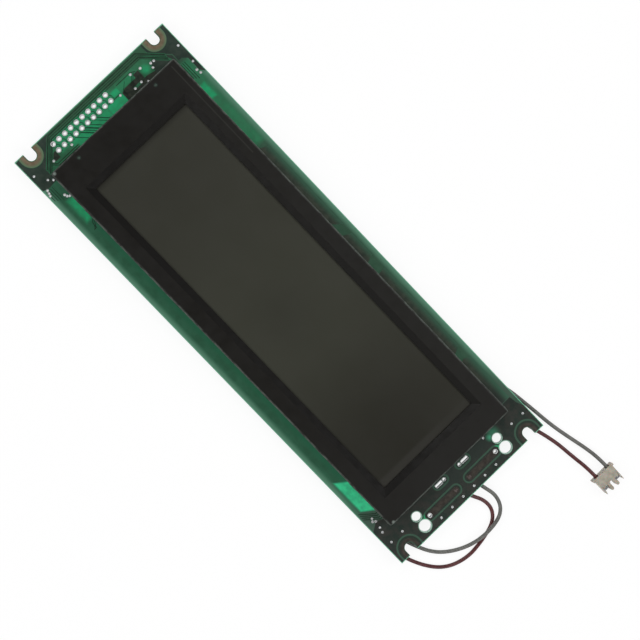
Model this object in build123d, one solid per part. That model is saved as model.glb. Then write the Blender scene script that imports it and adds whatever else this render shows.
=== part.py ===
from build123d import *
import math
import os

# Graphic LCD module: a circuit board carries a liquid crystal cell and its backlight under a folded bezel.
# Millimetres. The origin lies on the surface that the module rests on, under the middle of the board.
# +X runs from the header to the backlight leads, +Y across the board, +Z out of the display's face.

# Circuit board
board_length = 180.0
board_width = 65.0
board_thickness = 1.6
tall_part_height = 3.0

# Fixing slots, open to the short edges, and the copper lands round them
slot_radius = 1.75
slot_inset_x = 2.0
slot_inset_y = 5.5
slot_land_ring = 2.15
land_thickness = 0.07
land_margin = 0.25

# Header for the flat cable: two rows of ten holes, in columns across the board
pitch = 2.54
header_rows = 10
header_columns = 2
header_inset = 5.41
header_shift = -8.03
header_hole_radius = 0.6
header_ring_width = 0.3

# Holes of the backlight circuit at the right end
land_inset = 5.0
backlight_land_width = 1.9
backlight_land_length = 14.1
backlight_land_start = 2.0
lead_hole_radius = 0.5
lead_hole_margin = 1.1
clip_slot_inset = 10.3
clip_slot_width = 0.9
clip_slot_length = 2.7
clip_slot_shift = 5.8
clip_hole_radius = 0.45
clip_hole_shift = 3.5
tool_hole_shift = 18.45
inner_tool_hole_radius = 1.6
inner_tool_hole_inset = 7.8
outer_tool_hole_radius = 2.05
outer_tool_hole_inset = 3.6

# The smallest round holes, the joints and the wires have few sides
small_round_sides = 8

# Vias, each by its distance from the short edge and from the long edge of its corner
via_radius = 0.28
via_sides = 6
vias_header_top = [
    (4.9, 18.8), (5.6, 15.1), (6.7, 11.5), (6.8, 10.3), (8.2, 11.9), (7.5, 25.7), (9.0, 17.8),
    (9.2, 20.7), (10.4, 16.0), (8.6, 1.2), (15.4, 1.2), (18.2, 2.2), (19.7, 1.9),
]
vias_header_bottom = [
    (7.4, 1.5), (8.1, 9.5), (8.3, 17.2), (11.2, 3.9), (12.4, 5.2), (13.5, 1.5), (14.5, 1.2),
    (15.4, 0.9), (18.2, 4.5), (19.0, 4.8), (19.5, 5.4),
]
vias_lead_bottom = [(17.6, 3.1), (16.7, 2.6), (16.1, 3.4), (13.7, 3.0), (12.0, 2.5), (7.6, 2.4), (7.6, 7.4)]
vias_lead_top = [(7.7, 2.3), (7.8, 7.3), (11.0, 17.4)]
edge_via_count = 6
edge_via_pitch = 5.0
edge_via_inset = 1.75
edge_via_shift = -0.3

# Bezel: one folded sheet, whose place is given by the board left bare round it
header_end_margin = 11.4
lead_end_margin = 13.2
side_margin = 5.9
bezel_sheet = 0.5
bezel_fold_radius = 0.3
window_header_border = 12.8
window_lead_border = 10.2
window_side_border = 7.1
lip_run = 2.2
lip_drop = 1.2
corner_gap = 0.35
corner_gap_reach = 2.0
corner_relief = 0.05
pilot_hole_radius = 0.45
pilot_hole_inset = 2.4
pilot_hole_side_inset = 10.0
tab_width = 3.0
tab_reach = 2.4
tab_clearance = 0.2
long_side_tab_count = 4
long_side_tab_inset = 16.2
short_side_tab_count = 2
short_side_tab_inset = 12.6

# Liquid crystal cell
glass_thickness = 1.1
glass_clearance = 0.3
contact_ledge = 3.2
polarizer_thickness = 0.2
polarizer_margin = 1.8
strip_width = 2.0
strip_clearance = 0.3
cushion_margin = 1.0

# Backlight
frame_floor = 0.8
frame_wall = 1.0
reflector_thickness = 0.2
guide_thickness = 3.5
diffuser_thickness = 0.3
film_clearance = 0.15
lamp_board_thickness = 0.8
lamp_count = 8
lamp_pitch = 4.8
lamp_width = 3.0
lamp_depth = 1.2
lamp_height = 1.4
lamp_wall = 0.28
lamp_pin_side = 0.6
lamp_pin_spacing = 6.0
lamp_pin_tail = 1.0
lamp_pin_head = 1.6
pin_clearance = 0.15

# Moulded packages on the back of the board
package_gap = 0.1
package_draft = 0.2
lead_thickness = 0.15
lead_shoulder_share = 0.3
lead_knee_share = 0.55
controller_length = 20.0
controller_width = 14.0
controller_leads_long = 19
controller_leads_short = 13
controller_lead_pitch = 1.0
controller_lead_width = 0.4
controller_lead_reach = 1.9
controller_place = (-48.0, 4.0)
memory_length = 18.1
memory_width = 8.4
memory_leads = 14
memory_lead_pitch = 1.27
memory_lead_width = 0.42
memory_lead_reach = 1.7
memory_place = (-12.0, 9.0)
amplifier_length = 8.7
amplifier_width = 3.9
amplifier_height = 1.6
amplifier_leads = 7
amplifier_place = (14.0, 12.0)
converter_length = 4.9
converter_leads = 4
converter_place = (29.0, 10.0)
small_lead_reach = 1.05

# Driver chips under domes of epoxy
dome_height = 1.7
dome_corner = 3.2
dome_slope = 38.0
column_dome_length = 17.0
column_dome_width = 12.0
column_driver_count = 3
column_driver_pitch = 30.0
column_driver_start = (-36.0, -16.0)
row_dome_length = 11.0
row_dome_width = 15.0
row_driver_place = (-67.0, 3.0)

# Capacitors, resistors and the resonator
tantalum_length = 7.3
tantalum_width = 4.3
tantalum_terminal_width = 2.4
tantalum_terminal_thickness = 0.15
tantalum_terminal_foot = 1.3
tantalum_places = [(-69.5, 21.0), (40.0, 20.0), (41.5, -23.5), (-54.0, -22.5)]
chip_length = 2.0
chip_width = 1.25
chip_cap_length = 0.35
chip_inset = 0.03
resistor_height = 0.5
capacitor_height = 0.9
resistor_count = 6
resistor_pitch = 2.6
resistor_row_start = 7.0
resistor_row_inset = 12.5
capacitor_places = [(-32.0, 14.0), (-32.0, -4.0), (2.0, 2.0), (22.0, 2.0), (22.0, -4.0), (36.0, 4.0)]
resonator_length = 7.4
resonator_width = 3.2
resonator_height = 1.8
resonator_corner = 0.5
resonator_place = (-48.0, 19.0)

# Lead wires and their connector
wire_diameter = 1.3
core_diameter = 0.6
joint_radius = 1.25
joint_height = 1.25
joint_cap_radius = 0.75
joint_cap_height = 0.25
joint_tip_radius = 0.45
strip_end = 1.8
wire_drop = 0.8
wire_floor = wire_diameter / 2
wire_lift = 2.1
grey_exit = 10.0
grey_first_bend = 6.2
red_exit = 24.0
red_first_bend = 6.0
arc_share = 0.45
housing_x = 115.5
housing_y = 36.1
housing_body_length = 5.4
housing_width = 7.9
housing_height = 3.6
flange_thickness = 0.7
flange_width = 9.0
wing_length = 6.5
wing_thickness = 0.5
wing_gap = 0.12
wing_tip = 0.15
contact_spacing = 5.0
cavity_width = 1.7
cavity_height = 2.2
cavity_mouth = 1.15
nose_slot_width = 1.3
nose_slot_depth = 1.5
tongue_width = 1.2
tongue_length = 0.7
contact_clearance = 0.1
contact_wall = 0.25
contact_start = 0.9
contact_barrel_length = 1.5

# Sizes and places that follow
bezel_length = board_length - header_end_margin - lead_end_margin
bezel_width = board_width - 2 * side_margin
bezel_shift = (header_end_margin - lead_end_margin) / 2
window_length = bezel_length - window_header_border - window_lead_border
window_width = bezel_width - 2 * window_side_border
window_shift = bezel_shift + (window_header_border - window_lead_border) / 2
board_back = tall_part_height
board_face = board_back + board_thickness
reflector_z = board_face + frame_floor
guide_z = reflector_z + reflector_thickness
diffuser_z = guide_z + guide_thickness
rear_polarizer_z = diffuser_z + diffuser_thickness
rear_glass_z = rear_polarizer_z + polarizer_thickness
front_glass_z = rear_glass_z + glass_thickness
front_polarizer_z = front_glass_z + glass_thickness
lip_z = front_polarizer_z + polarizer_thickness
lip_thickness = bezel_sheet / math.cos(math.atan(lip_drop / lip_run))
bezel_top = lip_z + lip_thickness + lip_drop
right_edge = board_length / 2
slot_x = board_length / 2 - slot_inset_x
slot_y = board_width / 2 - slot_inset_y
land_x = right_edge - land_inset
open_hole_y = backlight_land_start + backlight_land_length - lead_hole_margin
joint_y = backlight_land_start + lead_hole_margin
header_x = header_inset - board_length / 2
front_glass_length = bezel_length - 2 * bezel_sheet - 2 * glass_clearance
front_glass_width = bezel_width - 2 * bezel_sheet - 2 * glass_clearance
rear_glass_length = front_glass_length - contact_ledge
rear_glass_width = front_glass_width - 2 * contact_ledge
rear_glass_shift = bezel_shift + contact_ledge / 2
rear_glass_left = rear_glass_shift - rear_glass_length / 2
rear_glass_right = rear_glass_shift + rear_glass_length / 2
polarizer_length = window_length + 2 * polarizer_margin
polarizer_width = window_width + 2 * polarizer_margin
tray_length = rear_glass_length - 2 * frame_wall
tray_width = rear_glass_width - 2 * frame_wall
lamp_board_x = rear_glass_right - frame_wall - lamp_board_thickness / 2
lamp_x = lamp_board_x - lamp_board_thickness / 2 - lamp_depth / 2
guide_left = rear_glass_left + frame_wall + film_clearance
guide_right = lamp_x - lamp_depth / 2 - film_clearance
guide_length = guide_right - guide_left
guide_x = (guide_left + guide_right) / 2
film_width = tray_width - 2 * film_clearance


def slab(length, width, height, x, y, z):
    """A flat plate whose lower face lies at z."""
    return Pos(x, y, z) * extrude(Rectangle(length, width), height)


def small_round(radius):
    """Outline of a small round hole or joint: a regular polygon drawn round the true circle."""
    return RegularPolygon(radius, small_round_sides, major_radius=False)


def solids_of(pieces):
    """Separate solids of one node, kept as a group."""
    return Compound(children=[solid for piece in pieces for solid in piece.solids()])


# Circuit board and its lands

def fixing_slot(side, end, margin=0.0):
    """Outline of one slot, round inside and open to the short edge."""
    radius = slot_radius + margin
    reach = 2 * slot_inset_x
    round_end = Pos(side * slot_x, end * slot_y) * Circle(radius)
    mouth = Pos(side * (slot_x + reach / 2), end * slot_y) * Rectangle(reach, 2 * radius)
    return round_end + mouth


def fixing_slots():
    return [fixing_slot(side, end) for side in (-1, 1) for end in (-1, 1)]


def header_points():
    """Middles of the header's holes."""
    middle_column = (header_columns - 1) / 2
    middle_row = (header_rows - 1) / 2
    points = []
    for column in range(header_columns):
        for row in range(header_rows):
            x = header_x + (column - middle_column) * pitch
            y = header_shift + (row - middle_row) * pitch
            points.append((x, y))
    return points


def corner_points(insets, side, end):
    """Points given by their distances from the two edges of a corner."""
    return [(side * (board_length / 2 - dx), end * (board_width / 2 - dy)) for dx, dy in insets]


def via_points():
    points = corner_points(vias_header_top, -1, 1)
    points += corner_points(vias_header_bottom, -1, -1)
    points += corner_points(vias_lead_bottom, 1, -1)
    points += corner_points(vias_lead_top, 1, 1)
    for index in range(edge_via_count):
        y = edge_via_shift + (index - (edge_via_count - 1) / 2) * edge_via_pitch
        points.append((right_edge - edge_via_inset, y))
    return points


def lead_end_openings():
    """Holes and slots beside the backlight lands, the same in both halves."""
    openings = []
    for end in (-1, 1):
        holes = [
            (land_x, open_hole_y, small_round(lead_hole_radius)),
            (land_x, joint_y, small_round(lead_hole_radius)),
            (right_edge - inner_tool_hole_inset, tool_hole_shift, Circle(inner_tool_hole_radius)),
            (right_edge - outer_tool_hole_inset, tool_hole_shift, Circle(outer_tool_hole_radius)),
            (right_edge - clip_slot_inset, clip_hole_shift, small_round(clip_hole_radius)),
        ]
        openings += [Pos(x, end * y) * hole for x, y, hole in holes]
        clip_slot = Rectangle(clip_slot_width, clip_slot_length)
        openings.append(Pos(right_edge - clip_slot_inset, end * clip_slot_shift) * clip_slot)
    return openings


def spaced(count, span):
    """Offsets of a centred row of places, the outer two a span apart."""
    return [span * (index / (count - 1) - 0.5) for index in range(count)]


def tab_places():
    """Each bezel tab: the middle of its wall's outer face, and the wall's outward direction in degrees."""
    places = []
    for x in spaced(long_side_tab_count, bezel_length - 2 * long_side_tab_inset):
        places.append((bezel_shift + x, bezel_width / 2, 90))
        places.append((bezel_shift + x, -bezel_width / 2, -90))
    for y in spaced(short_side_tab_count, bezel_width - 2 * short_side_tab_inset):
        places.append((bezel_shift + bezel_length / 2, y, 0))
        places.append((bezel_shift - bezel_length / 2, y, 180))
    return places


def tab_slots():
    slot = Rectangle(bezel_sheet + 2 * tab_clearance, tab_width + 2 * tab_clearance)
    slot = Pos(-bezel_sheet / 2, 0) * slot
    return [Pos(x, y) * Rot(0, 0, turn) * slot for x, y, turn in tab_places()]


def lamp_pin_points():
    return [(lamp_board_x, end * lamp_pin_spacing / 2) for end in (-1, 1)]


def header_holes():
    """The header's holes; the four corner ones, which place a mating header, are true circles."""
    points = header_points()
    corners = [points[0], points[header_rows - 1], points[-header_rows], points[-1]]
    holes = [Pos(x, y) * Circle(header_hole_radius) for x, y in corners]
    holes += [Pos(x, y) * small_round(header_hole_radius) for x, y in points if (x, y) not in corners]
    return holes


def circuit_board():
    via = RegularPolygon(via_radius, via_sides)
    pin_hole = Rectangle(lamp_pin_side + 2 * pin_clearance, lamp_pin_side + 2 * pin_clearance)
    outline = Rectangle(board_length, board_width) - fixing_slots() - tab_slots() - lead_end_openings()
    outline -= header_holes()
    outline -= [Pos(x, y) * via for x, y in via_points()]
    outline -= [Pos(x, y) * pin_hole for x, y in lamp_pin_points()]
    return Pos(0, 0, board_back) * extrude(outline, board_thickness)


def slot_lands():
    """Copper round each fixing slot, on both faces of the board."""
    lands = []
    board = Rectangle(board_length - 2 * land_margin, board_width)
    for side in (-1, 1):
        for end in (-1, 1):
            ring = Pos(side * slot_x, end * slot_y) * Circle(slot_radius + slot_land_ring)
            arms = Rectangle(2 * slot_inset_x, 2 * (slot_radius + slot_land_ring))
            ring += Pos(side * (slot_x + slot_inset_x), end * slot_y) * arms
            land = (ring & board) - fixing_slot(side, end, land_margin)
            lands.append(Pos(0, 0, board_face) * extrude(land, land_thickness))
            lands.append(Pos(0, 0, board_back - land_thickness) * extrude(land, land_thickness))
    return solids_of(lands)


def backlight_lands():
    """Two long lands, each with a lead hole at both ends."""
    lands = []
    for end in (-1, 1):
        land = SlotOverall(backlight_land_length, backlight_land_width, rotation=90)
        land = Pos(land_x, end * (backlight_land_start + backlight_land_length / 2)) * land
        land -= [Pos(land_x, end * y) * small_round(lead_hole_radius) for y in (joint_y, open_hole_y)]
        lands.append(Pos(0, 0, board_face) * extrude(land, land_thickness))
    return solids_of(lands)


def header_rings():
    """Tinned rings round the header's holes."""
    ring = small_round(header_hole_radius + header_ring_width) - small_round(header_hole_radius)
    return solids_of([Pos(x, y, board_face) * extrude(ring, land_thickness) for x, y in header_points()])


# Bezel

def bezel_shell():
    """The folded box, open at the bottom."""
    height = bezel_top - board_face
    outer = slab(bezel_length, bezel_width, height, bezel_shift, 0, board_face)
    outer = fillet(outer.faces().sort_by(Axis.Z)[-1].edges(), bezel_fold_radius + bezel_sheet)
    inner = slab(bezel_length - 2 * bezel_sheet, bezel_width - 2 * bezel_sheet, height - bezel_sheet,
                 bezel_shift, 0, board_face)
    inner = fillet(inner.faces().sort_by(Axis.Z)[-1].edges(), bezel_fold_radius)
    return outer - inner


def lip_cone(low, high):
    """The space over a face of the sloped lip, from the window's edge at one height up to another."""
    run = (high - low) * lip_run / lip_drop
    upper = Pos(window_shift, 0, high) * Rectangle(window_length + 2 * run, window_width + 2 * run)
    lower = Pos(window_shift, 0, low) * Rectangle(window_length, window_width)
    return loft([lower, upper], ruled=True)


def corner_cuts():
    """At each corner a gap between the folded walls, and a round relief that just clears their folds."""
    cuts = []
    relief_radius = math.sqrt(2) * bezel_sheet + corner_relief
    relief_depth = bezel_fold_radius + 2 * bezel_sheet
    gap_height = bezel_top - board_face - relief_depth / 2
    for side in (-1, 1):
        for end in (-1, 1):
            x = bezel_shift + side * (bezel_length / 2 - bezel_sheet)
            y = end * (bezel_width / 2 - bezel_sheet)
            cuts.append(Pos(x, y, bezel_top) * Cylinder(relief_radius, 2 * relief_depth))
            gap = Box(2 * corner_gap_reach, corner_gap, gap_height)
            cuts.append(Pos(x, y, board_face + gap_height / 2) * Rot(0, 0, 45 * side * end) * gap)
    return cuts


def bezel_tab():
    """A tab that goes down through the board and is bent flat against its back. X points out of the wall."""
    bend = bezel_fold_radius + bezel_sheet
    end_x = -tab_reach - bezel_sheet
    end_z = board_back - bezel_sheet
    profile = Polygon(
        (0, board_face), (0, end_z), (end_x, end_z), (end_x, board_back),
        (-bezel_sheet, board_back), (-bezel_sheet, board_face), align=None,
    )
    profile = fillet(profile.vertices().sort_by_distance((0, end_z, 0))[0], bend)
    return extrude(Plane.XZ * profile, tab_width / 2, both=True)


def bezel():
    shell = bezel_shell() + lip_cone(lip_z, bezel_top - bezel_sheet)
    shell -= lip_cone(lip_z + lip_thickness, bezel_top)
    shell -= slab(window_length, window_width, bezel_top, window_shift, 0, 0)
    shell -= corner_cuts()
    pilot_x = bezel_shift - bezel_length / 2 + pilot_hole_inset
    pilot_y = bezel_width / 2 - pilot_hole_side_inset
    pilot_hole = extrude(small_round(pilot_hole_radius), 2 * bezel_sheet, both=True)
    shell -= [Pos(pilot_x, end * pilot_y, bezel_top) * pilot_hole for end in (-1, 1)]
    for x, y, turn in tab_places():
        shell += Pos(x, y) * Rot(0, 0, turn) * bezel_tab()
    return shell


# Liquid crystal cell

def front_polarizer():
    return slab(polarizer_length, polarizer_width, polarizer_thickness, window_shift, 0, front_polarizer_z)


def front_glass():
    return slab(front_glass_length, front_glass_width, glass_thickness, bezel_shift, 0, front_glass_z)


def rear_glass():
    return slab(rear_glass_length, rear_glass_width, glass_thickness, rear_glass_shift, 0, rear_glass_z)


def rear_polarizer():
    return slab(polarizer_length, polarizer_width, polarizer_thickness, window_shift, 0, rear_polarizer_z)


def cushion_frame():
    """Soft frame that fills the space between the front glass and the bezel."""
    height = bezel_top - bezel_sheet - front_polarizer_z
    margin = lip_run + cushion_margin
    opening = Pos(window_shift, 0) * Rectangle(window_length + 2 * margin, window_width + 2 * margin)
    length = front_glass_length - 2 * bezel_fold_radius
    width = front_glass_width - 2 * bezel_fold_radius
    outline = Pos(bezel_shift, 0) * Rectangle(length, width)
    return Pos(0, 0, front_polarizer_z) * extrude(outline - opening, height)


def long_contact_strip(end):
    """Elastomer strip from the board's face to a contact ledge along a long side."""
    y = end * (rear_glass_width / 2 + strip_clearance + strip_width / 2)
    return slab(polarizer_length, strip_width, front_glass_z - board_face, window_shift, y, board_face)


def left_contact_strip():
    x = rear_glass_left - strip_clearance - strip_width / 2
    return slab(strip_width, polarizer_width, front_glass_z - board_face, x, 0, board_face)


# Backlight

def backlight_frame():
    """White tray that stands on the board and carries the rear glass on its rim."""
    height = rear_glass_z - board_face
    tray = slab(rear_glass_length, rear_glass_width, height, rear_glass_shift, 0, board_face)
    tray -= slab(tray_length, tray_width, height, rear_glass_shift, 0, reflector_z)
    hole = lamp_pin_side + 2 * pin_clearance
    for x, y in lamp_pin_points():
        tray -= slab(hole, hole, frame_floor, x, y, board_face)
    return tray


def light_film(thickness, z):
    return slab(guide_length, film_width, thickness, guide_x, 0, z)


def lamp_board():
    """Narrow board that stands at the right end of the tray."""
    height = rear_polarizer_z - reflector_z
    board = slab(lamp_board_thickness, film_width, height, lamp_board_x, 0, reflector_z)
    for x, y in lamp_pin_points():
        board -= slab(lamp_pin_side, lamp_pin_side, lamp_pin_head, x, y, reflector_z)
    return board


def lamps():
    """Side-facing light-emitting diodes, each with a recessed window towards the guide."""
    pieces = []
    z = guide_z + (guide_thickness - lamp_height) / 2
    body = slab(lamp_depth, lamp_width, lamp_height, 0, 0, z)
    body -= slab(lamp_wall, lamp_width - 2 * lamp_wall, lamp_height - 2 * lamp_wall,
                 (lamp_wall - lamp_depth) / 2, 0, z + lamp_wall)
    for index in range(lamp_count):
        y = (index - (lamp_count - 1) / 2) * lamp_pitch
        pieces.append(Pos(lamp_x, y, 0) * body)
    return solids_of(pieces)


def lamp_pins():
    """Square pins from the lamp board, through the tray and the circuit board."""
    bottom = board_back - lamp_pin_tail
    height = reflector_z + lamp_pin_head - bottom
    pin = slab(lamp_pin_side, lamp_pin_side, height, 0, 0, bottom)
    return solids_of([Pos(x, y, 0) * pin for x, y in lamp_pin_points()])


# Parts on the back, modelled with the board's surface at zero and turned over on to the board

def on_back(place, piece, turn=0):
    x, y = place
    return Pos(x, y, board_back) * Rot(180, 0, 0) * Rot(0, 0, turn) * piece


def moulded_body(length, width, height):
    """A package with drafted sides and its parting line at half its height."""
    middle = package_gap + (height - package_gap) / 2
    draft = 2 * package_draft
    waist = Pos(0, 0, middle) * Rectangle(length, width)
    ends = [Pos(0, 0, z) * Rectangle(length - draft, width - draft) for z in (package_gap, height)]
    return loft([ends[0], waist], ruled=True) + loft([waist, ends[1]], ruled=True)


def gull_wing(height, reach, width):
    """One lead that leaves the package at its waist, at x = 0, and stands on the board."""
    waist = package_gap + (height - package_gap) / 2
    shoulder = lead_shoulder_share * reach
    knee = lead_knee_share * reach
    half = lead_thickness / 2
    profile = Polygon(
        (0, waist - half), (0, waist + half), (shoulder, waist + half), (knee + half, lead_thickness),
        (reach, lead_thickness), (reach, 0), (knee, 0), (shoulder - half, waist - half), align=None,
    )
    return extrude(Plane.XZ * profile, width / 2, both=True)


def lead_row(count, lead_pitch, distance, lead, turn):
    """A row of leads at a distance from the package's middle, turned about that middle."""
    row = []
    for index in range(count):
        along = (index - (count - 1) / 2) * lead_pitch
        row.append(Rot(0, 0, turn) * Pos(distance, along) * lead)
    return row


def controller_leads():
    lead = gull_wing(tall_part_height, controller_lead_reach, controller_lead_width)
    leads = []
    for turn in (90, 270):
        leads += lead_row(controller_leads_long, controller_lead_pitch, controller_width / 2, lead, turn)
    for turn in (0, 180):
        leads += lead_row(controller_leads_short, controller_lead_pitch, controller_length / 2, lead, turn)
    return solids_of([on_back(controller_place, lead) for lead in leads])


def two_row_leads(place, width, count, lead):
    """Leads along the two long sides of a small outline package."""
    leads = []
    for turn in (90, 270):
        leads += lead_row(count, memory_lead_pitch, width / 2, lead, turn)
    return [on_back(place, lead) for lead in leads]


def memory_lead_rows():
    lead = gull_wing(tall_part_height, memory_lead_reach, memory_lead_width)
    return solids_of(two_row_leads(memory_place, memory_width, memory_leads, lead))


def controller():
    return on_back(controller_place, moulded_body(controller_length, controller_width, tall_part_height))


def memory():
    return on_back(memory_place, moulded_body(memory_length, memory_width, tall_part_height))


def small_packages():
    """Bias amplifier and converter."""
    return solids_of([
        on_back(amplifier_place, moulded_body(amplifier_length, amplifier_width, amplifier_height)),
        on_back(converter_place, moulded_body(converter_length, amplifier_width, amplifier_height)),
    ])


def small_package_leads():
    lead = gull_wing(amplifier_height, small_lead_reach, memory_lead_width)
    leads = two_row_leads(amplifier_place, amplifier_width, amplifier_leads, lead)
    leads += two_row_leads(converter_place, amplifier_width, converter_leads, lead)
    return solids_of(leads)


def epoxy_dome(length, width):
    """A chip on the board under epoxy that has flowed to a low block with cut corners and sloping sides."""
    outline = chamfer(Rectangle(length, width).vertices(), dome_corner)
    return extrude(outline, dome_height, taper=dome_slope)


def column_drivers():
    x, y = column_driver_start
    dome = epoxy_dome(column_dome_length, column_dome_width)
    places = [(x + index * column_driver_pitch, y) for index in range(column_driver_count)]
    return solids_of([on_back(place, dome) for place in places])


def tantalum_body():
    """Moulded block, narrower than its length by the two terminals bent round its ends."""
    length = tantalum_length - 2 * tantalum_terminal_thickness
    height = tall_part_height - tantalum_terminal_thickness
    return Pos(0, 0, tantalum_terminal_thickness) * extrude(Rectangle(length, tantalum_width), height)


def tantalum_terminal():
    """An angle of strip: up the end of the block and under it."""
    end = tantalum_length / 2
    thickness = tantalum_terminal_thickness
    top = tall_part_height / 2
    profile = Polygon(
        (end, 0), (end, top), (end - thickness, top), (end - thickness, thickness),
        (end - tantalum_terminal_foot, thickness), (end - tantalum_terminal_foot, 0), align=None,
    )
    return extrude(Plane.XZ * profile, tantalum_terminal_width / 2, both=True)


def tantalum_terminals():
    terminals = []
    for place in tantalum_places:
        terminals += [on_back(place, tantalum_terminal(), turn) for turn in (0, 180)]
    return solids_of(terminals)


def chip(height):
    """A ceramic chip whose two end caps stand a little proud of its body."""
    ceramic = Rectangle(chip_length - 2 * chip_cap_length, chip_width - 2 * chip_inset)
    piece = extrude(ceramic, height - chip_inset)
    for side in (-1, 1):
        cap = extrude(Rectangle(chip_cap_length, chip_width), height)
        piece += Pos(side * (chip_length - chip_cap_length) / 2, 0, 0) * cap
    return piece


def chip_resistors():
    y = board_width / 2 - resistor_row_inset
    piece = chip(resistor_height)
    places = [(resistor_row_start + index * resistor_pitch, y) for index in range(resistor_count)]
    return solids_of([on_back(place, piece, 90) for place in places])


def resonator():
    body = extrude(RectangleRounded(resonator_length, resonator_width, resonator_corner), resonator_height)
    return on_back(resonator_place, body)


# Lead wires, their solder joints and their connector

def solder_cone(radius, height):
    """Solder drawn up to a blunt tip, standing on the XY plane."""
    slope = math.degrees(math.atan2(radius - joint_tip_radius, height))
    return extrude(small_round(radius), height, taper=slope)


def wire_joints():
    """Solder through each lead hole, coned on both faces, with the bare end of the wire let in below."""
    joints = []
    for end, turn in ((1, grey_exit), (-1, red_exit)):
        filling = extrude(small_round(lead_hole_radius), board_thickness + land_thickness)
        joint = Pos(0, 0, board_back) * filling
        joint += Pos(0, 0, board_face + land_thickness) * solder_cone(joint_cap_radius, joint_cap_height)
        joint += Pos(0, 0, board_back) * Rot(180, 0, 0) * solder_cone(joint_radius, joint_height)
        core = extrude(Plane.YZ * small_round(core_diameter / 2), strip_end)
        joint += Pos(0, 0, board_back - wire_drop) * Rot(0, 0, turn) * core
        joints.append(Pos(land_x, end * joint_y, 0) * joint)
    return solids_of(joints)


def corner_radii(points):
    """The largest arc that the two runs at each corner allow, with a little of each run left straight."""
    radii = []
    for before, corner, after in zip(points, points[1:], points[2:]):
        first = Vector(*corner) - Vector(*before)
        second = Vector(*after) - Vector(*corner)
        half_turn = math.radians(first.get_angle(second)) / 2
        radii.append(arc_share * min(first.length, second.length) / math.tan(half_turn))
    return radii


def wire(name, points):
    """Insulated wire along straight runs joined by tangent arcs."""
    radii = corner_radii(points)
    path = FilletPolyline(*points, radius=radii)
    section = Plane(path @ 0, z_dir=path % 0) * RegularPolygon(wire_diameter / 2, small_round_sides)
    tube = sweep(section, path)
    straight_volume = section.area * path.length
    print(name, "length", round(path.length, 1), "arc radii", [round(radius, 1) for radius in radii])
    print(name, "volume", round(tube.volume, 2), "section times length", round(straight_volume, 2))
    return tube


def out_of_joint(y, turn, distance):
    """A point on the straight line in which a wire leaves its joint, under the board."""
    angle = math.radians(turn)
    return (land_x + distance * math.cos(angle), y + distance * math.sin(angle), board_back - wire_drop)


# Routes of the wires: out of the joints, round a loop beside the board, under it and out to the connector
contact_z = housing_height / 2
contact_x = housing_x + contact_start
grey_contact_y = housing_y + contact_spacing / 2
red_contact_y = housing_y - contact_spacing / 2
grey_route = [
    out_of_joint(joint_y, grey_exit, strip_end),
    out_of_joint(joint_y, grey_exit, grey_first_bend),
    (95.7, 5.4, 2.15),
    (100.1, 4.1, wire_lift),
    (102.7, 0.4, wire_lift),
    (103.3, -7.8, wire_lift),
    (101.2, -15.6, 0.95),
    (96.2, -22.4, wire_floor),
    (88.4, -26.1, wire_floor),
    (79.4, -28.6, wire_floor),
    (68.5, -28.3, wire_floor),
    (57.5, -21.6, wire_floor),
    (51.6, -10.8, wire_floor),
    (50.2, 2.0, wire_floor),
    (53.6, 14.8, wire_floor),
    (60.8, 25.4, wire_floor),
    (70.4, 32.0, wire_floor),
    (82.0, 33.7, wire_floor),
    (92.6, 34.8, wire_floor),
    (101.0, 36.6, wire_floor),
    (106.2, 37.8, 1.2),
    (111.6, grey_contact_y, contact_z),
    (contact_x, grey_contact_y, contact_z),
]
red_route = [
    out_of_joint(-joint_y, red_exit, strip_end),
    out_of_joint(-joint_y, red_exit, red_first_bend),
    (94.8, 1.5, 1.05),
    (99.1, 1.4, wire_floor),
    (102.5, -1.8, wire_floor),
    (104.1, -8.0, wire_floor),
    (104.9, -15.6, wire_floor),
    (102.3, -23.2, wire_floor),
    (96.2, -28.2, wire_floor),
    (87.4, -31.6, wire_floor),
    (76.0, -31.6, wire_floor),
    (63.6, -28.8, wire_floor),
    (52.6, -21.8, wire_floor),
    (48.8, -10.8, wire_lift),
    (52.4, 0.6, wire_lift),
    (57.2, 11.0, wire_floor),
    (64.4, 20.2, wire_floor),
    (74.6, 26.2, wire_floor),
    (86.6, 28.9, wire_floor),
    (97.0, 31.9, wire_floor),
    (105.6, 32.8, 0.9),
    (111.6, red_contact_y, contact_z),
    (contact_x, red_contact_y, contact_z),
]


def side_wing(end):
    """A thin latching wing beside the housing, pointed at its tip. X runs to the nose."""
    outer = end * housing_width / 2
    inner = outer - end * wing_thickness
    outline = Polygon(
        (0, outer), (0, inner), (wing_length - 2 * wing_thickness, inner),
        (wing_length, outer - end * 2 * wing_tip), (wing_length, outer - end * wing_tip), align=None,
    )
    return extrude(outline, housing_height, dir=(0, 0, 1))


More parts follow.
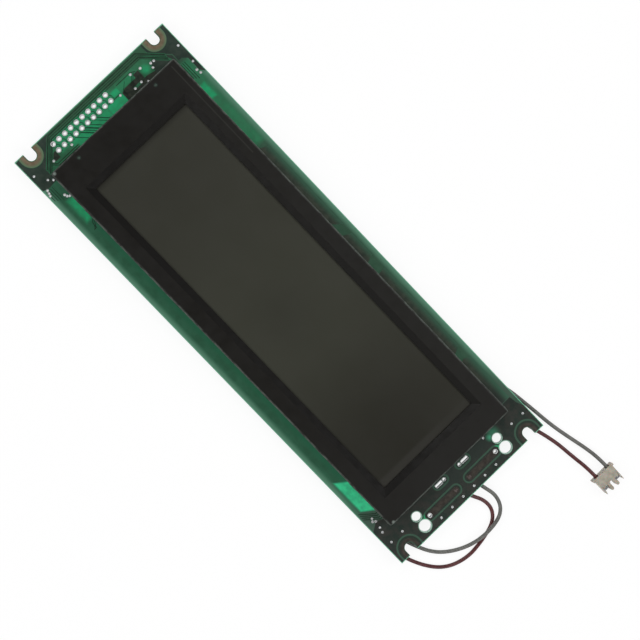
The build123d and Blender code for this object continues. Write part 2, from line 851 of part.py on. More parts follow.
def connector_housing():
    """Two-way crimp housing that lies on the surface, nose along +X."""
    core_width = housing_width - 2 * wing_thickness - 2 * wing_gap
    body = slab(housing_body_length, core_width, housing_height, housing_body_length / 2, 0, 0)
    body += slab(flange_thickness, flange_width, housing_height, flange_thickness / 2, 0, 0)
    for end in (-1, 1):
        body += side_wing(end)
        tongue_y = end * (nose_slot_width + tongue_width) / 2
        tongue = SlotOverall(2 * tongue_length + tongue_width, tongue_width)
        body += Pos(housing_body_length, tongue_y, 0) * extrude(tongue, housing_height)
    bridge_length = housing_body_length - nose_slot_depth - cavity_mouth
    bridge_x = flange_thickness + bridge_length / 2
    for end in (-1, 1):
        bridge_y = end * (housing_width / 2 - wing_thickness - wing_gap / 2)
        body += slab(bridge_length, 2 * wing_gap, housing_height, bridge_x, bridge_y, 0)
    slot = Pos(housing_body_length, 0) * SlotOverall(2 * nose_slot_depth, nose_slot_width)
    slot += Pos(housing_body_length + wing_length / 2, 0) * Rectangle(wing_length, nose_slot_width)
    body -= extrude(slot, housing_height)
    cavity_z = (housing_height - cavity_height) / 2
    for end in (-1, 1):
        y = end * contact_spacing / 2
        body -= slab(housing_body_length, cavity_width, cavity_height, housing_body_length / 2, y, cavity_z)
        mouth_x = housing_body_length - cavity_mouth / 2
        body -= slab(cavity_mouth, cavity_width, housing_height, mouth_x, y, cavity_z)
    return Pos(housing_x, housing_y, 0) * body


def crimp_terminals():
    """Box contacts in the cavities, each with a crimp barrel that meets its wire."""
    terminals = []
    width = cavity_width - 2 * contact_clearance
    height = cavity_height - 2 * contact_clearance
    box_start = contact_start + contact_barrel_length
    box_length = housing_body_length - box_start - contact_clearance
    for end in (-1, 1):
        box_x = box_start + box_length / 2
        contact = slab(box_length, width, height, box_x, 0, (housing_height - height) / 2)
        inside = height - 2 * contact_wall
        contact -= slab(box_length - contact_wall, width - 2 * contact_wall, inside,
                        box_x + contact_wall, 0, (housing_height - inside) / 2)
        barrel = Plane(origin=(contact_start, 0, contact_z), z_dir=(1, 0, 0))
        contact += extrude(barrel * small_round(wire_diameter / 2), contact_barrel_length)
        terminals.append(Pos(housing_x, housing_y + end * contact_spacing / 2, 0) * contact)
    return solids_of(terminals)


nodes = {
    "circuit_board": circuit_board(),
    "slot_lands": slot_lands(),
    "backlight_lands": backlight_lands(),
    "header_rings": header_rings(),
    "bezel": bezel(),
    "front_polarizer": front_polarizer(),
    "front_glass": front_glass(),
    "rear_glass": rear_glass(),
    "rear_polarizer": rear_polarizer(),
    "cushion_frame": cushion_frame(),
    "upper_contact_strip": long_contact_strip(1),
    "lower_contact_strip": long_contact_strip(-1),
    "left_contact_strip": left_contact_strip(),
    "diffuser": light_film(diffuser_thickness, diffuser_z),
    "light_guide": light_film(guide_thickness, guide_z),
    "reflector": light_film(reflector_thickness, reflector_z),
    "backlight_frame": backlight_frame(),
    "lamp_board": lamp_board(),
    "lamps": lamps(),
    "lamp_pins": lamp_pins(),
    "controller": controller(),
    "controller_leads": controller_leads(),
    "memory": memory(),
    "memory_leads": memory_lead_rows(),
    "small_packages": small_packages(),
    "small_package_leads": small_package_leads(),
    "column_drivers": column_drivers(),
    "row_driver": on_back(row_driver_place, epoxy_dome(row_dome_length, row_dome_width)),
    "tantalum_capacitors": solids_of([on_back(place, tantalum_body()) for place in tantalum_places]),
    "tantalum_terminals": tantalum_terminals(),
    "chip_resistors": chip_resistors(),
    "chip_capacitors": solids_of([on_back(place, chip(capacitor_height)) for place in capacitor_places]),
    "resonator": resonator(),
    "wire_joints": wire_joints(),
    "grey_wire": wire("grey wire", grey_route),
    "red_wire": wire("red wire", red_route),
    "connector_housing": connector_housing(),
    "crimp_terminals": crimp_terminals(),
}

os.makedirs("parts", exist_ok=True)
for name, shape in nodes.items():
    export_step(shape, os.path.join("parts", name + ".step"))
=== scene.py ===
import math

import bmesh
import bpy
from mathutils import Matrix, Vector, geometry


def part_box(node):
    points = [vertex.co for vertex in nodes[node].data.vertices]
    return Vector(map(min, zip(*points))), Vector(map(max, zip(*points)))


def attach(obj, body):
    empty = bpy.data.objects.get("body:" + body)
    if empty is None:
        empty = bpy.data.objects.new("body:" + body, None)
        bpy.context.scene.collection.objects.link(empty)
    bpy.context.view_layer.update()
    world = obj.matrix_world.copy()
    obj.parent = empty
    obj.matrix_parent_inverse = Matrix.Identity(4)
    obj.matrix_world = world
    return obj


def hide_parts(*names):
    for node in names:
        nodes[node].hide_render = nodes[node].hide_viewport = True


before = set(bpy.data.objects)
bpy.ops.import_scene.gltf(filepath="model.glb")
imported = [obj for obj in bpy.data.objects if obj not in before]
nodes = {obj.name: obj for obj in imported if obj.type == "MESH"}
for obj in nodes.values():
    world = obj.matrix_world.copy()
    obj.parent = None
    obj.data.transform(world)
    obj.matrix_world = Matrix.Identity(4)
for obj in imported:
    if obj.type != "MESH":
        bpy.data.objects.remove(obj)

# Graphic LCD module on a pale floor. Lengths are in millimetres and become metres where meshes are made.
MM = 0.001
scene = bpy.context.scene
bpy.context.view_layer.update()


def box_in_mm(name):
    """The low and the high corner of a node's box."""
    return [[value / MM for value in corner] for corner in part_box(name)]


# Places read from the frame
(board_left, board_bottom, board_back), (board_right, board_top, board_face) = box_in_mm("circuit_board")
bezel_low, bezel_high = box_in_mm("bezel")
bezel_middle = (bezel_low[0] + bezel_high[0]) / 2
polarizer_left = box_in_mm("front_polarizer")[0][0]
land_top = box_in_mm("backlight_lands")[1][2]

# The module's left and right side, and its lower and upper end
sides = (-1, 1)
ends = (-1, 1)

# Camera, as the photograph was taken: nearly straight down, the board turned by a half right angle
sensor = 36.0
focal_length = 84.3
camera_place = (-23.36, -19.75, 488.86)
camera_target = (13.76, 3.26, 4.58)
camera_up_turn = 136.2
camera_clip = (0.01, 10.0)

# Wires: the points of their routes, from the solder joints to the connector
wire_diameter = 1.3
wire_start = 1.8
joint_x = 85.0
joint_y = 3.1
joint_wire_z = 2.2
grey_exit = 10.0
grey_first_bend = 6.2
red_exit = 24.0
red_first_bend = 6.0
grey_tail = [
    (95.7, 5.4, 2.15), (100.1, 4.1, 2.1), (102.7, 0.4, 2.1), (103.3, -7.8, 2.1), (101.2, -15.6, 0.95),
    (96.2, -22.4, 0.65), (88.4, -26.1, 0.65), (79.4, -28.6, 0.65), (68.5, -28.3, 0.65), (57.5, -21.6, 0.65),
    (51.6, -10.8, 0.65), (50.2, 2.0, 0.65), (53.6, 14.8, 0.65), (60.8, 25.4, 0.65), (70.4, 32.0, 0.65),
    (82.0, 33.7, 0.65), (92.6, 34.8, 0.65), (101.0, 36.6, 0.65), (106.2, 37.8, 1.2), (111.6, 38.6, 1.8),
    (116.4, 38.6, 1.8),
]
red_tail = [
    (94.8, 1.5, 1.05), (99.1, 1.4, 0.65), (102.5, -1.8, 0.65), (104.1, -8.0, 0.65), (104.9, -15.6, 0.65),
    (102.3, -23.2, 0.65), (96.2, -28.2, 0.65), (87.4, -31.6, 0.65), (76.0, -31.6, 0.65), (63.6, -28.8, 0.65),
    (52.6, -21.8, 0.65), (48.8, -10.8, 2.1), (52.4, 0.6, 2.1), (57.2, 11.0, 0.65), (64.4, 20.2, 0.65),
    (74.6, 26.2, 0.65), (86.6, 28.9, 0.65), (97.0, 31.9, 0.65), (105.6, 32.8, 0.9), (111.6, 33.6, 1.8),
    (116.4, 33.6, 1.8),
]

# The board's holes and lands, as the frame has them
slot_radius = 1.75
slot_x = board_right - 2.0
slot_y = board_top - 5.5
slot_land_radius = slot_radius + 2.15
via_radius = 0.28
corner_vias = {
    (-1, 1): [(4.9, 18.8), (5.6, 15.1), (6.7, 11.5), (6.8, 10.3), (8.2, 11.9), (7.5, 25.7), (9.0, 17.8),
              (9.2, 20.7), (10.4, 16.0), (8.6, 1.2), (15.4, 1.2), (18.2, 2.2), (19.7, 1.9)],
    (-1, -1): [(7.4, 1.5), (8.1, 9.5), (8.3, 17.2), (11.2, 3.9), (12.4, 5.2), (13.5, 1.5), (14.5, 1.2),
               (15.4, 0.9), (18.2, 4.5), (19.0, 4.8), (19.5, 5.4)],
    (1, -1): [(17.6, 3.1), (16.7, 2.6), (16.1, 3.4), (13.7, 3.0), (12.0, 2.5), (7.6, 2.4), (7.6, 7.4)],
    (1, 1): [(7.7, 2.3), (7.8, 7.3), (11.0, 17.4)],
}
edge_vias = [(board_right - 1.75, -0.3 + (index - 2.5) * 5.0) for index in range(6)]
header_radius = 0.6
header_ring_radius = 0.9
header_pitch = 2.54
header_middle = (board_left + 5.41, -8.03)
header_rows = 10
header_holes = [
    (header_middle[0] + (column - 0.5) * header_pitch, header_middle[1] + (row - 4.5) * header_pitch)
    for column in range(2) for row in range(header_rows)
]
lead_hole_radius = 0.5
tool_holes = [(board_right - 7.8, 18.45, 1.6), (board_right - 3.6, 18.45, 2.05)]
clip_x = board_right - 10.3
clip_slot = (5.8, 0.9, 2.7)
clip_hole = (3.5, 0.45)
clip_reach = (3.5, 6.4)
land_x = board_right - 5.0
land_half_width = 0.95
land_reach = (2.0, 16.1)
copper_lift = 0.035

# Half widths of the gaps, rims and openings round the lands and clips, and the margin round the tool holes
land_gap = 2.05
land_rim = 1.5
clip_gap = 1.75
clip_rim = 1.15
clip_opening = 0.8
tool_gap = 0.4

# Pilot holes of the bezel, and the corners where a highlight is painted on it
pilot_x = bezel_low[0] + 2.4
pilot_y = bezel_high[1] - 10.0
pilot_radius = 0.45
corner_highlights = [
    (bezel_low[0] + 0.8, bezel_low[1] + 1.0, 0.5),
    (bezel_high[0] - 0.5, bezel_low[1] + 1.6, 0.5),
]

# Slots in the board for the bezel's tabs
tab_count = 4
tab_slot_width = 0.9
tab_slot_length = 3.4
tab_slot_outset = 0.2
tab_inset_long = 16.2
tab_short_y = bezel_high[1] - 12.6

# Solder joints of the wires, and the epoxy over the driver chips, on the back
joint_radius = 1.25
joint_height = 1.25
joint_cap_radius = 0.75
joint_cap_height = 0.28
core_radius = 0.3
driver_length = 17.0
driver_pitch = 30.0
driver_count = 3
epoxy_squareness = 3.6

# Small parts on the back, as the frame has them
tantalum_places = [(-69.5, 21.0), (40.0, 20.0), (41.5, -23.5), (-54.0, -22.5)]
capacitor_places = [(-32.0, 14.0), (-32.0, -4.0), (2.0, 2.0), (22.0, 2.0), (22.0, -4.0), (36.0, 4.0)]
resistor_start = (7.0, 20.0)
resistor_pitch = 2.6
resistor_count = 6

# Materials: how rough noise is, where its middle lies, what all masks share, and the rates of fine patterns
noise_roughness = 0.55
noise_middle = (0.3, 0.7)
mask_rough = (0.34, 0.5)
mask_specular = 0.3
weave_rate = 12.0
bar_rate = 24.0
dot_rate = 2 * math.pi / 0.53

# Where light comes through the board: each a box or a disc, its soft width and its share of the full light
lit_boxes = [
    (-82.6, 1.0, -77.0, 7.6, 0.35, 0.95),
    (-85.2, 4.4, -83.1, 7.6, 0.5, 0.85),
    (-82.6, -13.6, -77.0, 1.0, 0.7, 0.75),
    (-82.4, -15.0, -80.5, -11.5, 0.5, 0.75),
    (-85.4, 7.4, -83.3, 14.2, 0.6, 0.3),
    (-87.4, -19.0, -82.0, 4.4, 0.7, 0.5),
    (-69.6, -28.8, -60.8, -24.0, 1.1, 1.0),
    (-67.6, 24.0, -61.5, 29.6, 0.8, 1.0),
    (-76.4, 24.0, -41.0, 30.9, 1.2, 0.35),
]
lit_discs = [(-83.1, 18.5, 1.3, 0.9, 0.8), (84.3, 16.9, 0.9, 0.6, 0.8), (84.3, -16.9, 0.9, 0.6, 0.8)]
lit_slant = (57.0, -30.4, 69.8, -26.0)
lit_slant_shear = 0.75
lit_band = (-60.0, -28.2, 58.0, -20.0)

# A crease in the bezel's paint
crease = (-77.0, 24.1, -40.0, 24.4)

# Widths of the softened edges
soft_edges = {
    "connector_housing": 0.08, "controller": 0.12, "memory": 0.12, "small_packages": 0.1,
    "tantalum_capacitors": 0.15, "chip_resistors": 0.05, "chip_capacitors": 0.06, "resonator": 0.12,
}

# Lamps round the module, in watts and metres
lamp_powers = (4.6, 4.0, 4.4, 4.0)
lamp_first_turn = 65
lamp_reach = 0.95
lamp_height = 1.05
lamp_size = 0.9


def all_vias():
    points = list(edge_vias)
    for (side, end), insets in corner_vias.items():
        x_edge = board_right if side > 0 else board_left
        y_edge = board_top if end > 0 else board_bottom
        points += [(x_edge - side * dx, y_edge - end * dy) for dx, dy in insets]
    return points


# Shapes in the plane: each is a list of points that runs round once

def disc(x, y, radius, steps=24):
    turns = [2 * math.pi * index / steps for index in range(steps)]
    return [(x + radius * math.cos(turn), y + radius * math.sin(turn)) for turn in turns]


def block(x0, y0, x1, y1):
    return [(x0, y0), (x1, y0), (x1, y1), (x0, y1)]


def centred(x, y, half_x, half_y):
    return block(x - half_x, y - half_y, x + half_x, y + half_y)


def cut_block(x, y, half_x, half_y, cut):
    """A rectangle with cut corners."""
    inner_x, inner_y = half_x - cut, half_y - cut
    corners = [(inner_x, -half_y), (half_x, -inner_y), (half_x, inner_y), (inner_x, half_y),
               (-inner_x, half_y), (-half_x, inner_y), (-half_x, -inner_y), (-inner_x, -half_y)]
    return [(x + dx, y + dy) for dx, dy in corners]


def capsule(start, end, width, steps=6):
    """A straight stroke with round ends."""
    along = math.atan2(end[1] - start[1], end[0] - start[0])
    points = []
    for (x, y), first in ((end, along - math.pi / 2), (start, along + math.pi / 2)):
        for index in range(steps + 1):
            turn = first + math.pi * index / steps
            points.append((x + width / 2 * math.cos(turn), y + width / 2 * math.sin(turn)))
    return points


def track(points, width):
    return [capsule(start, end, width) for start, end in zip(points, points[1:])]


def slot_mouth(side, end, radius):
    """The strip from a fixing slot's middle out to the short edge."""
    x = side * slot_x
    edge = board_right - 0.25 if side > 0 else board_left + 0.25
    return block(min(x, edge), end * slot_y - radius, max(x, edge), end * slot_y + radius)


def add(name, data):
    thing = bpy.data.objects.new(name, data)
    scene.collection.objects.link(thing)
    return thing


def new_piece(name, bm, finish, smooth=False):
    """Turns mesh data in millimetres into a piece that rides on the module."""
    mesh = bpy.data.meshes.new(name)
    bmesh.ops.scale(bm, vec=(MM, MM, MM), verts=bm.verts)
    bmesh.ops.recalc_face_normals(bm, faces=bm.faces)
    bm.to_mesh(mesh)
    bm.free()
    for polygon in mesh.polygons:
        polygon.use_smooth = smooth
    mesh.materials.append(materials[finish])
    piece = add(name, mesh)
    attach(piece, "root")
    return piece


def counterclockwise(outline):
    area = sum(x0 * y1 - x1 * y0 for (x0, y0), (x1, y1) in zip(outline, outline[1:] + outline[:1]))
    return outline if area > 0 else outline[::-1]


def flat_copper(name, shapes, holes, finish, base=board_face, lift=copper_lift, slot_name="laminate"):
    """A thin raised layer: the union of the shapes without the holes."""
    points, faces = [], []
    for outline in [counterclockwise(outline) for outline in shapes + holes]:
        faces.append(list(range(len(points), len(points) + len(outline))))
        points += [Vector(point) for point in outline]
    spots, _, cells, _, _, origins = geometry.delaunay_2d_cdt(points, [], faces, 1, 1e-5)
    bm = bmesh.new()
    made = {}

    def vertex(index, height):
        if (index, height) not in made:
            made[index, height] = bm.verts.new((spots[index].x, spots[index].y, height))
        return made[index, height]

    kept = [cell for cell, owners in zip(cells, origins)
            if owners and all(owner < len(shapes) for owner in owners)]
    rim = {}
    for cell in kept:
        bm.faces.new([vertex(index, base + lift) for index in cell])
        for start, end in zip(cell, cell[1:] + cell[:1]):
            if rim.pop((end, start), None) is None:
                rim[start, end] = True
    for start, end in rim:
        bm.faces.new([vertex(end, base + lift), vertex(start, base + lift), vertex(start, base),
                      vertex(end, base)])
    new_piece(name, bm, finish)


# Materials, by name; each finish adds its own
materials = {}


def linear(colour):
    """An sRGB triple of 0 to 255 as a linear colour."""
    shares = [value / 255 for value in colour]
    parts = [share / 12.92 if share <= 0.04045 else ((share + 0.055) / 1.055) ** 2.4 for share in shares]
    return (*parts, 1.0)


class Field:
    """A number that varies over a surface; what is worked out from it becomes nodes of its material."""

    def __init__(self, tree, socket):
        self.tree = tree
        self.socket = socket

    def math(self, operation, *others):
        node = self.tree.nodes.new("ShaderNodeMath")
        node.operation = operation
        for target, value in zip(node.inputs, (self, *others)):
            if isinstance(value, Field):
                self.tree.links.new(value.socket, target)
            else:
                target.default_value = value
        return Field(self.tree, node.outputs[0])

    def __add__(self, other):
        return self.math("ADD", other)

    def __sub__(self, other):
        return self.math("SUBTRACT", other)

    def __mul__(self, other):
        return self.math("MULTIPLY", other)

    def __abs__(self):
        return self.math("ABSOLUTE")

    def waves(self, rate):
        return (self * rate).math("SINE")

    def larger(self, other):
        return self.math("MAXIMUM", other)

    def ramp(self, low, high, start=0.0, end=1.0, kind="SMOOTHSTEP"):
        """Maps low..high to start..end."""
        node = self.tree.nodes.new("ShaderNodeMapRange")
        node.interpolation_type = kind
        self.tree.links.new(self.socket, node.inputs["Value"])
        for name, number in (("From Min", low), ("From Max", high), ("To Min", start), ("To Max", end)):
            node.inputs[name].default_value = number
        return Field(self.tree, node.outputs[0])


def axes_of(tree, vector):
    """X, Y and Z of a vector, as fields."""
    parts = tree.nodes.new("ShaderNodeSeparateXYZ")
    tree.links.new(vector, parts.inputs[0])
    return [Field(tree, output) for output in parts.outputs]


def most(masks):
    """The largest of several fields at each place."""
    total = masks[0]
    for mask in masks[1:]:
        total = total.larger(mask)
    return total


def distance(dx, dy):
    return (dx * dx + dy * dy).math("SQRT")


class Finish:
    """Builds one procedural material; places in it are millimetres of the module's own frame."""

    def __init__(self, name):
        material = materials[name] = bpy.data.materials.new(name)
        material.use_nodes = True
        self.tree = material.node_tree
        self.node = self.tree.nodes.new
        self.link = self.tree.links.new
        self.shader = self.tree.nodes["Principled BSDF"]
        coordinates = self.node("ShaderNodeTexCoord")
        scale = self.node("ShaderNodeVectorMath")
        scale.operation = "SCALE"
        scale.inputs["Scale"].default_value = 1 / MM
        self.link(coordinates.outputs["Object"], scale.inputs[0])
        self.place = scale.outputs[0]
        self.x, self.y, self.z = axes_of(self.tree, self.place)

    def noise(self, size, detail=3.0):
        """Noise whose blotches are about the given size."""
        node = self.node("ShaderNodeTexNoise")
        node.inputs["Scale"].default_value = 1 / size
        node.inputs["Detail"].default_value = detail
        node.inputs["Roughness"].default_value = noise_roughness
        self.link(self.place, node.inputs["Vector"])
        return Field(self.tree, node.outputs["Fac"])

    def blotches(self, size, detail=3.0, start=0.0, end=1.0):
        return self.noise(size, detail).ramp(*noise_middle, start, end)

    def mix(self, factor, low, high):
        """A colour between two, each an sRGB triple of 0 to 255 or a colour made before."""
        node = self.node("ShaderNodeMix")
        node.data_type = "RGBA"
        self.link(factor.socket, node.inputs["Factor"])
        for target, value in ((node.inputs[6], low), (node.inputs[7], high)):
            if isinstance(value, tuple):
                target.default_value = linear(value)
            else:
                self.link(value, target)
        return node.outputs[2]

    def base(self, factor, low, high):
        """Starts the colour, between two."""
        self.seen = self.mix(factor, low, high)

    def layer(self, factor, colour):
        """Lays a colour over what is there, as far as the factor says."""
        self.seen = self.mix(factor, self.seen, colour)

    def gloss(self, size, low, high):
        """Roughness that varies between two values, in blotches of the given size."""
        self.link(self.blotches(size, start=low, end=high).socket, self.shader.inputs["Roughness"])

    def bump(self, height, step):
        """Adds relief; step is the height in millimetres of a rise from 0 to 1."""
        node = self.node("ShaderNodeBump")
        node.inputs["Distance"].default_value = step * MM
        self.link(height.socket, node.inputs["Height"])
        normal = self.shader.inputs["Normal"]
        if normal.is_linked:
            self.link(normal.links[0].from_socket, node.inputs["Normal"])
        self.link(node.outputs[0], normal)

    def done(self, **values):
        """Gives the shader its colour and its plain values."""
        self.link(self.seen, self.shader.inputs["Base Color"])
        for name, value in values.items():
            self.shader.inputs[name.replace("_", " ")].default_value = value

    def box_mask(self, x0, y0, x1, y1, soft, shear=0.0):
        """1 inside a rectangle, or one sheared along X, fading over the soft width at its edge."""
        dx = self.x - (x0 + x1) / 2
        dy = self.y - (y0 + y1) / 2
        if shear:
            dx = dx - dy * shear
        outward = (abs(dx) - (x1 - x0) / 2).larger(abs(dy) - (y1 - y0) / 2)
        return outward.ramp(soft, -soft)

    def disc_mask(self, x, y, radius, soft):
        return distance(self.x - x, self.y - y).ramp(radius + soft, radius - soft)

    def normal_z(self):
        surface = self.node("ShaderNodeNewGeometry")
        return axes_of(self.tree, surface.outputs["True Normal"])[2]


def mottled(name, low, high, size, rough, relief, relief_size=0.3, **values):
    """A finish whose colour, gloss and relief all vary over the surface."""
    coat = Finish(name)
    coat.base(coat.blotches(size), low, high)
    coat.gloss(size / 3, *rough)
    coat.bump(coat.noise(relief_size, 4.0), relief)
    coat.done(**values)


def masked(name, low, high, size, relief=0.012, relief_size=0.8):
    """Solder mask over copper."""
    mottled(name, low, high, size, mask_rough, relief, relief_size, Specular_IOR_Level=mask_specular)


def insulation(name, low, high):
    """Soft plastic round a wire."""
    mottled(name, low, high, 1.8, (0.26, 0.38), 0.012, 0.6, Specular_IOR_Level=0.5)


def mask_done(coat):
    """Gives a mask of its own colours the gloss and relief that the others have."""
    coat.gloss(0.9, *mask_rough)
    coat.bump(coat.noise(0.8, 4.0), 0.012)
    coat.done(Specular_IOR_Level=mask_specular)


def bare_laminate(coat, blotch):
    """The mask's greens over bare laminate: they differ by side, and painted light from the board's edge
    makes them pale there.
    """
    x, y = coat.x, coat.y
    coat.base(blotch, (46, 96, 71), (56, 114, 86))
    left = coat.mix(blotch, (46, 107, 73), (56, 127, 89))
    coat.layer(x.ramp(-76.0, -80.0), coat.mix(x.ramp(-86.0, -87.2), left, (52, 91, 65)))
    coat.layer(y.ramp(26.0, 27.0), coat.mix(blotch, (60, 90, 71), (70, 104, 83)))
    coat.layer(x.ramp(62.0, 72.0), (82, 101, 89))
    coat.layer(x.ramp(75.0, 78.0), (68, 92, 78))
    coat.layer(coat.box_mask(*lit_band, 0.9) * 0.7, (36, 116, 82))
    # Painted light from the edge: a pale band near the upper and lower edges, fading out to the right, and a
    # paler line along every edge
    beyond = abs(y) - board_top
    outward = (abs(x) - board_right).larger(beyond)
    coat.layer(beyond.ramp(-2.4, -0.5) * x.ramp(58.0, 74.0, 1.0, 0.0), (106, 158, 132))
    coat.layer(outward.ramp(-0.4, -0.1), (138, 214, 178))


def laminate():
    """Green mask over glass laminate, with painted light where light would come through it with no copper
    behind.
    """
    coat = Finish("laminate")
    blotch = coat.blotches(4.0, 4.0)
    bare_laminate(coat, blotch)
    windows = [coat.box_mask(*box, soft) * share for *box, soft, share in lit_boxes]
    windows += [coat.disc_mask(*spot, soft) * share for *spot, soft, share in lit_discs]
    slanted = coat.box_mask(*lit_slant, 0.4, shear=lit_slant_shear)
    patchy = coat.noise(2.2, 2.0).ramp(0.25, 0.75, 0.6, 1.0)
    bright = most(windows + [slanted]) * patchy
    coat.layer(bright, (34, 170, 112))
    coat.layer(coat.box_mask(*lit_slant, 0.6, shear=lit_slant_shear) * patchy, (78, 238, 176))
    # Painted light: a pale ring round each tool hole, as if light came through the laminate at the hole's
    # edge
    hole_glow = [coat.disc_mask(x, end * y, radius + 0.2, 0.2) for x, y, radius in tool_holes for end in ends]
    coat.layer(most(hole_glow), (206, 240, 224))
    facing = coat.normal_z()
    coat.layer(facing.math("LESS_THAN", -0.5), coat.mix(blotch, (24, 76, 50), (34, 92, 62)))
    # Painted glow: the face gives off green light, stronger where light through the board is painted; the
    # back gives off none
    glow = coat.mix(bright, (22, 44, 32), (24, 102, 66))
    glow = coat.mix(facing.math("GREATER_THAN", 0.5), (0, 0, 0), glow)
    coat.link(glow, coat.shader.inputs["Emission Color"])
    coat.gloss(1.5, 0.36, 0.52)
    coat.bump(coat.x.waves(weave_rate) * coat.y.waves(weave_rate), 0.004)
    coat.bump(coat.noise(0.8), 0.01)
    coat.done(Specular_IOR_Level=0.2, Emission_Strength=1.0)


def strip_mask():
    """Mask over the long planes, where light from the board's edge spreads a little way in."""
    coat = Finish("masked_plane_strip")
    coat.base(coat.blotches(2.4), (66, 77, 67), (85, 93, 80))
    coat.layer(coat.x.ramp(62.0, 76.0), (58, 68, 62))
    coat.layer(coat.y.ramp(28.0, 30.6), (74, 120, 96))
    mask_done(coat)


def lead_end_mask():
    """Mask over copper at the lead end, with light that spreads under it beside one tool hole."""
    coat = Finish("masked_plane_lead_end")
    coat.base(coat.blotches(2.6), (46, 60, 53), (66, 66, 61))
    coat.layer(coat.box_mask(72.0, -7.0, 83.0, 16.0, 2.5), (60, 70, 64))
    spread = (coat.disc_mask(80.0, 18.6, 1.6, 1.6) * 0.5).larger(coat.disc_mask(80.3, 16.9, 0.8, 1.1))
    coat.layer(spread, (96, 205, 160))
    mask_done(coat)


def bezel_paint():
    """Black paint, painted lighter towards the upper right, with painted shade on the lip and painted
    highlights along the folded edges and at two corners.
    """
    coat = Finish("bezel_paint")
    x, y, z = coat.x, coat.y, coat.z
    # Painted light: the paint is darker towards the lower left and lighter towards the upper right
    coat.base((x + y * 3.0).ramp(-75.0, 75.0), (25, 23, 19), (38, 37, 34))
    coat.layer(coat.noise(9.0, 4.0).ramp(0.35, 0.75, 0.0, 0.35), (41, 40, 38))
    dx = abs(x - bezel_middle) - (bezel_high[0] - bezel_low[0]) / 2
    outward = dx.larger(abs(y) - bezel_high[1])
    # Painted shade on the window's sloping lip, deepest at the bottom
    lip_shade = coat.normal_z().ramp(0.97, 0.9) * outward.ramp(-3.0, -5.0)
    coat.layer(lip_shade * y.ramp(-10.0, 10.0, 0.95, 0.45), (17, 15, 12))
    top = z.ramp(bezel_high[2] - 0.9, bezel_high[2] - 0.4)
    # Painted highlight: a patchy pale line along the folded outer edges of the top
    fold_highlight = outward.ramp(-0.7, -0.25) * top * coat.noise(2.4, 4.0).ramp(0.3, 0.65, 0.1, 1.0)
    coat.layer(fold_highlight, (96, 104, 97))
    coat.layer(coat.box_mask(*crease, 0.2) * 0.3, (84, 86, 80))
    # Painted highlights at two corners of the top
    coat.layer(most([coat.disc_mask(*spot, 0.3) for spot in corner_highlights]) * top, (138, 148, 141))
    coat.layer(most([coat.disc_mask(pilot_x, end * pilot_y, 0.6, 0.3) for end in ends]), (60, 76, 68))
    coat.gloss(2.5, 0.42, 0.58)
    coat.bump(coat.noise(0.12, 2.0), 0.006)
    coat.done(Specular_IOR_Level=0.25)


def display_film():
    """Grey-green polarizer over the cell, with painted shade at its left edge, a painted reflection on its
    right, and the faintest trace of the dots behind it.
    """
    coat = Finish("display_film")
    x, y = coat.x, coat.y
    coat.base(x.ramp(-60.0, 8.0), (63, 63, 55), (70, 71, 61))
    coat.layer(x.ramp(8.0, 60.0), (48, 47, 40))
    coat.layer(y.ramp(-2.0, 22.0, 0.0, 0.35), (69, 69, 61))
    coat.layer(coat.blotches(34.0, 1.0, 0.0, 0.08), (54, 54, 46))
    coat.layer(coat.disc_mask(4.0, -4.0, 9.0, 9.0) * 0.35, (56, 56, 49))
    shaded = x.ramp(polarizer_left + 1.6, polarizer_left + 4.2, 0.75, 0.0)
    coat.layer(shaded, (38, 37, 32))
    # Painted reflection: a paler strip near the window's right side, fainter towards the top
    right_reflection = coat.box_mask(63.9, -40.0, 72.0, 40.0, 0.7)
    coat.layer(right_reflection * y.ramp(0.0, 12.0, 0.85, 0.5), (61, 60, 55))
    dots = x.waves(dot_rate) * y.waves(dot_rate)
    coat.layer(dots.ramp(0.2, 0.9, 0.0, 0.05), (84, 86, 78))
    coat.gloss(12.0, 0.34, 0.4)
    coat.bump(coat.noise(0.2, 2.0), 0.002)
    coat.done(Specular_IOR_Level=0.3)


def land_copper():
    """Bare copper: pale on the header side, brown at the lead end, and greenish at the slots' rims."""
    coat = Finish("land_copper")
    blotch = coat.blotches(1.6, 4.0)
    dx = (abs(coat.x) - slot_x).math("MINIMUM", 0.0)
    away = distance(dx, abs(coat.y) - slot_y)
    at_slot = abs(coat.y).math("GREATER_THAN", slot_y - slot_land_radius - 0.5)
    coat.base(blotch, (122, 106, 84), (144, 128, 104))
    coat.layer(away.ramp(2.8, 3.7) * at_slot, (116, 138, 106))
    dark = coat.mix(blotch, (62, 56, 51), (82, 76, 68))
    dark = coat.mix(away.ramp(2.9, 3.4) * at_slot, dark, (52, 64, 55))
    coat.layer(coat.x.ramp(-40.0, 40.0), dark)
    coat.gloss(0.8, 0.4, 0.6)
    coat.bump(coat.noise(0.5, 4.0), 0.008)
    coat.done(Metallic=0.1, Specular_IOR_Level=0.3)


def joint_solder():
    """Bright solder on the back, and dull brown flux over the small cap on the face."""
    coat = Finish("joint_solder")
    blotch = coat.blotches(0.5, 4.0)
    coat.base(blotch, (150, 152, 154), (196, 198, 200))
    coat.layer(coat.z.ramp(board_back, board_face), coat.mix(blotch, (84, 72, 68), (112, 102, 98)))
    coat.gloss(0.6, 0.3, 0.5)
    coat.bump(coat.noise(0.3, 3.0), 0.02)
    coat.done(Metallic=0.4)


def elastomer():
    """Fine bars of carbon in grey rubber, across each strip."""
    coat = Finish("elastomer")
    bars = (coat.x + coat.y).waves(bar_rate) + coat.noise(1.0) * 0.4
    coat.base(bars.ramp(-0.2, 0.2), (40, 40, 40), (150, 146, 138))
    coat.gloss(1.0, 0.55, 0.7)
    coat.done()


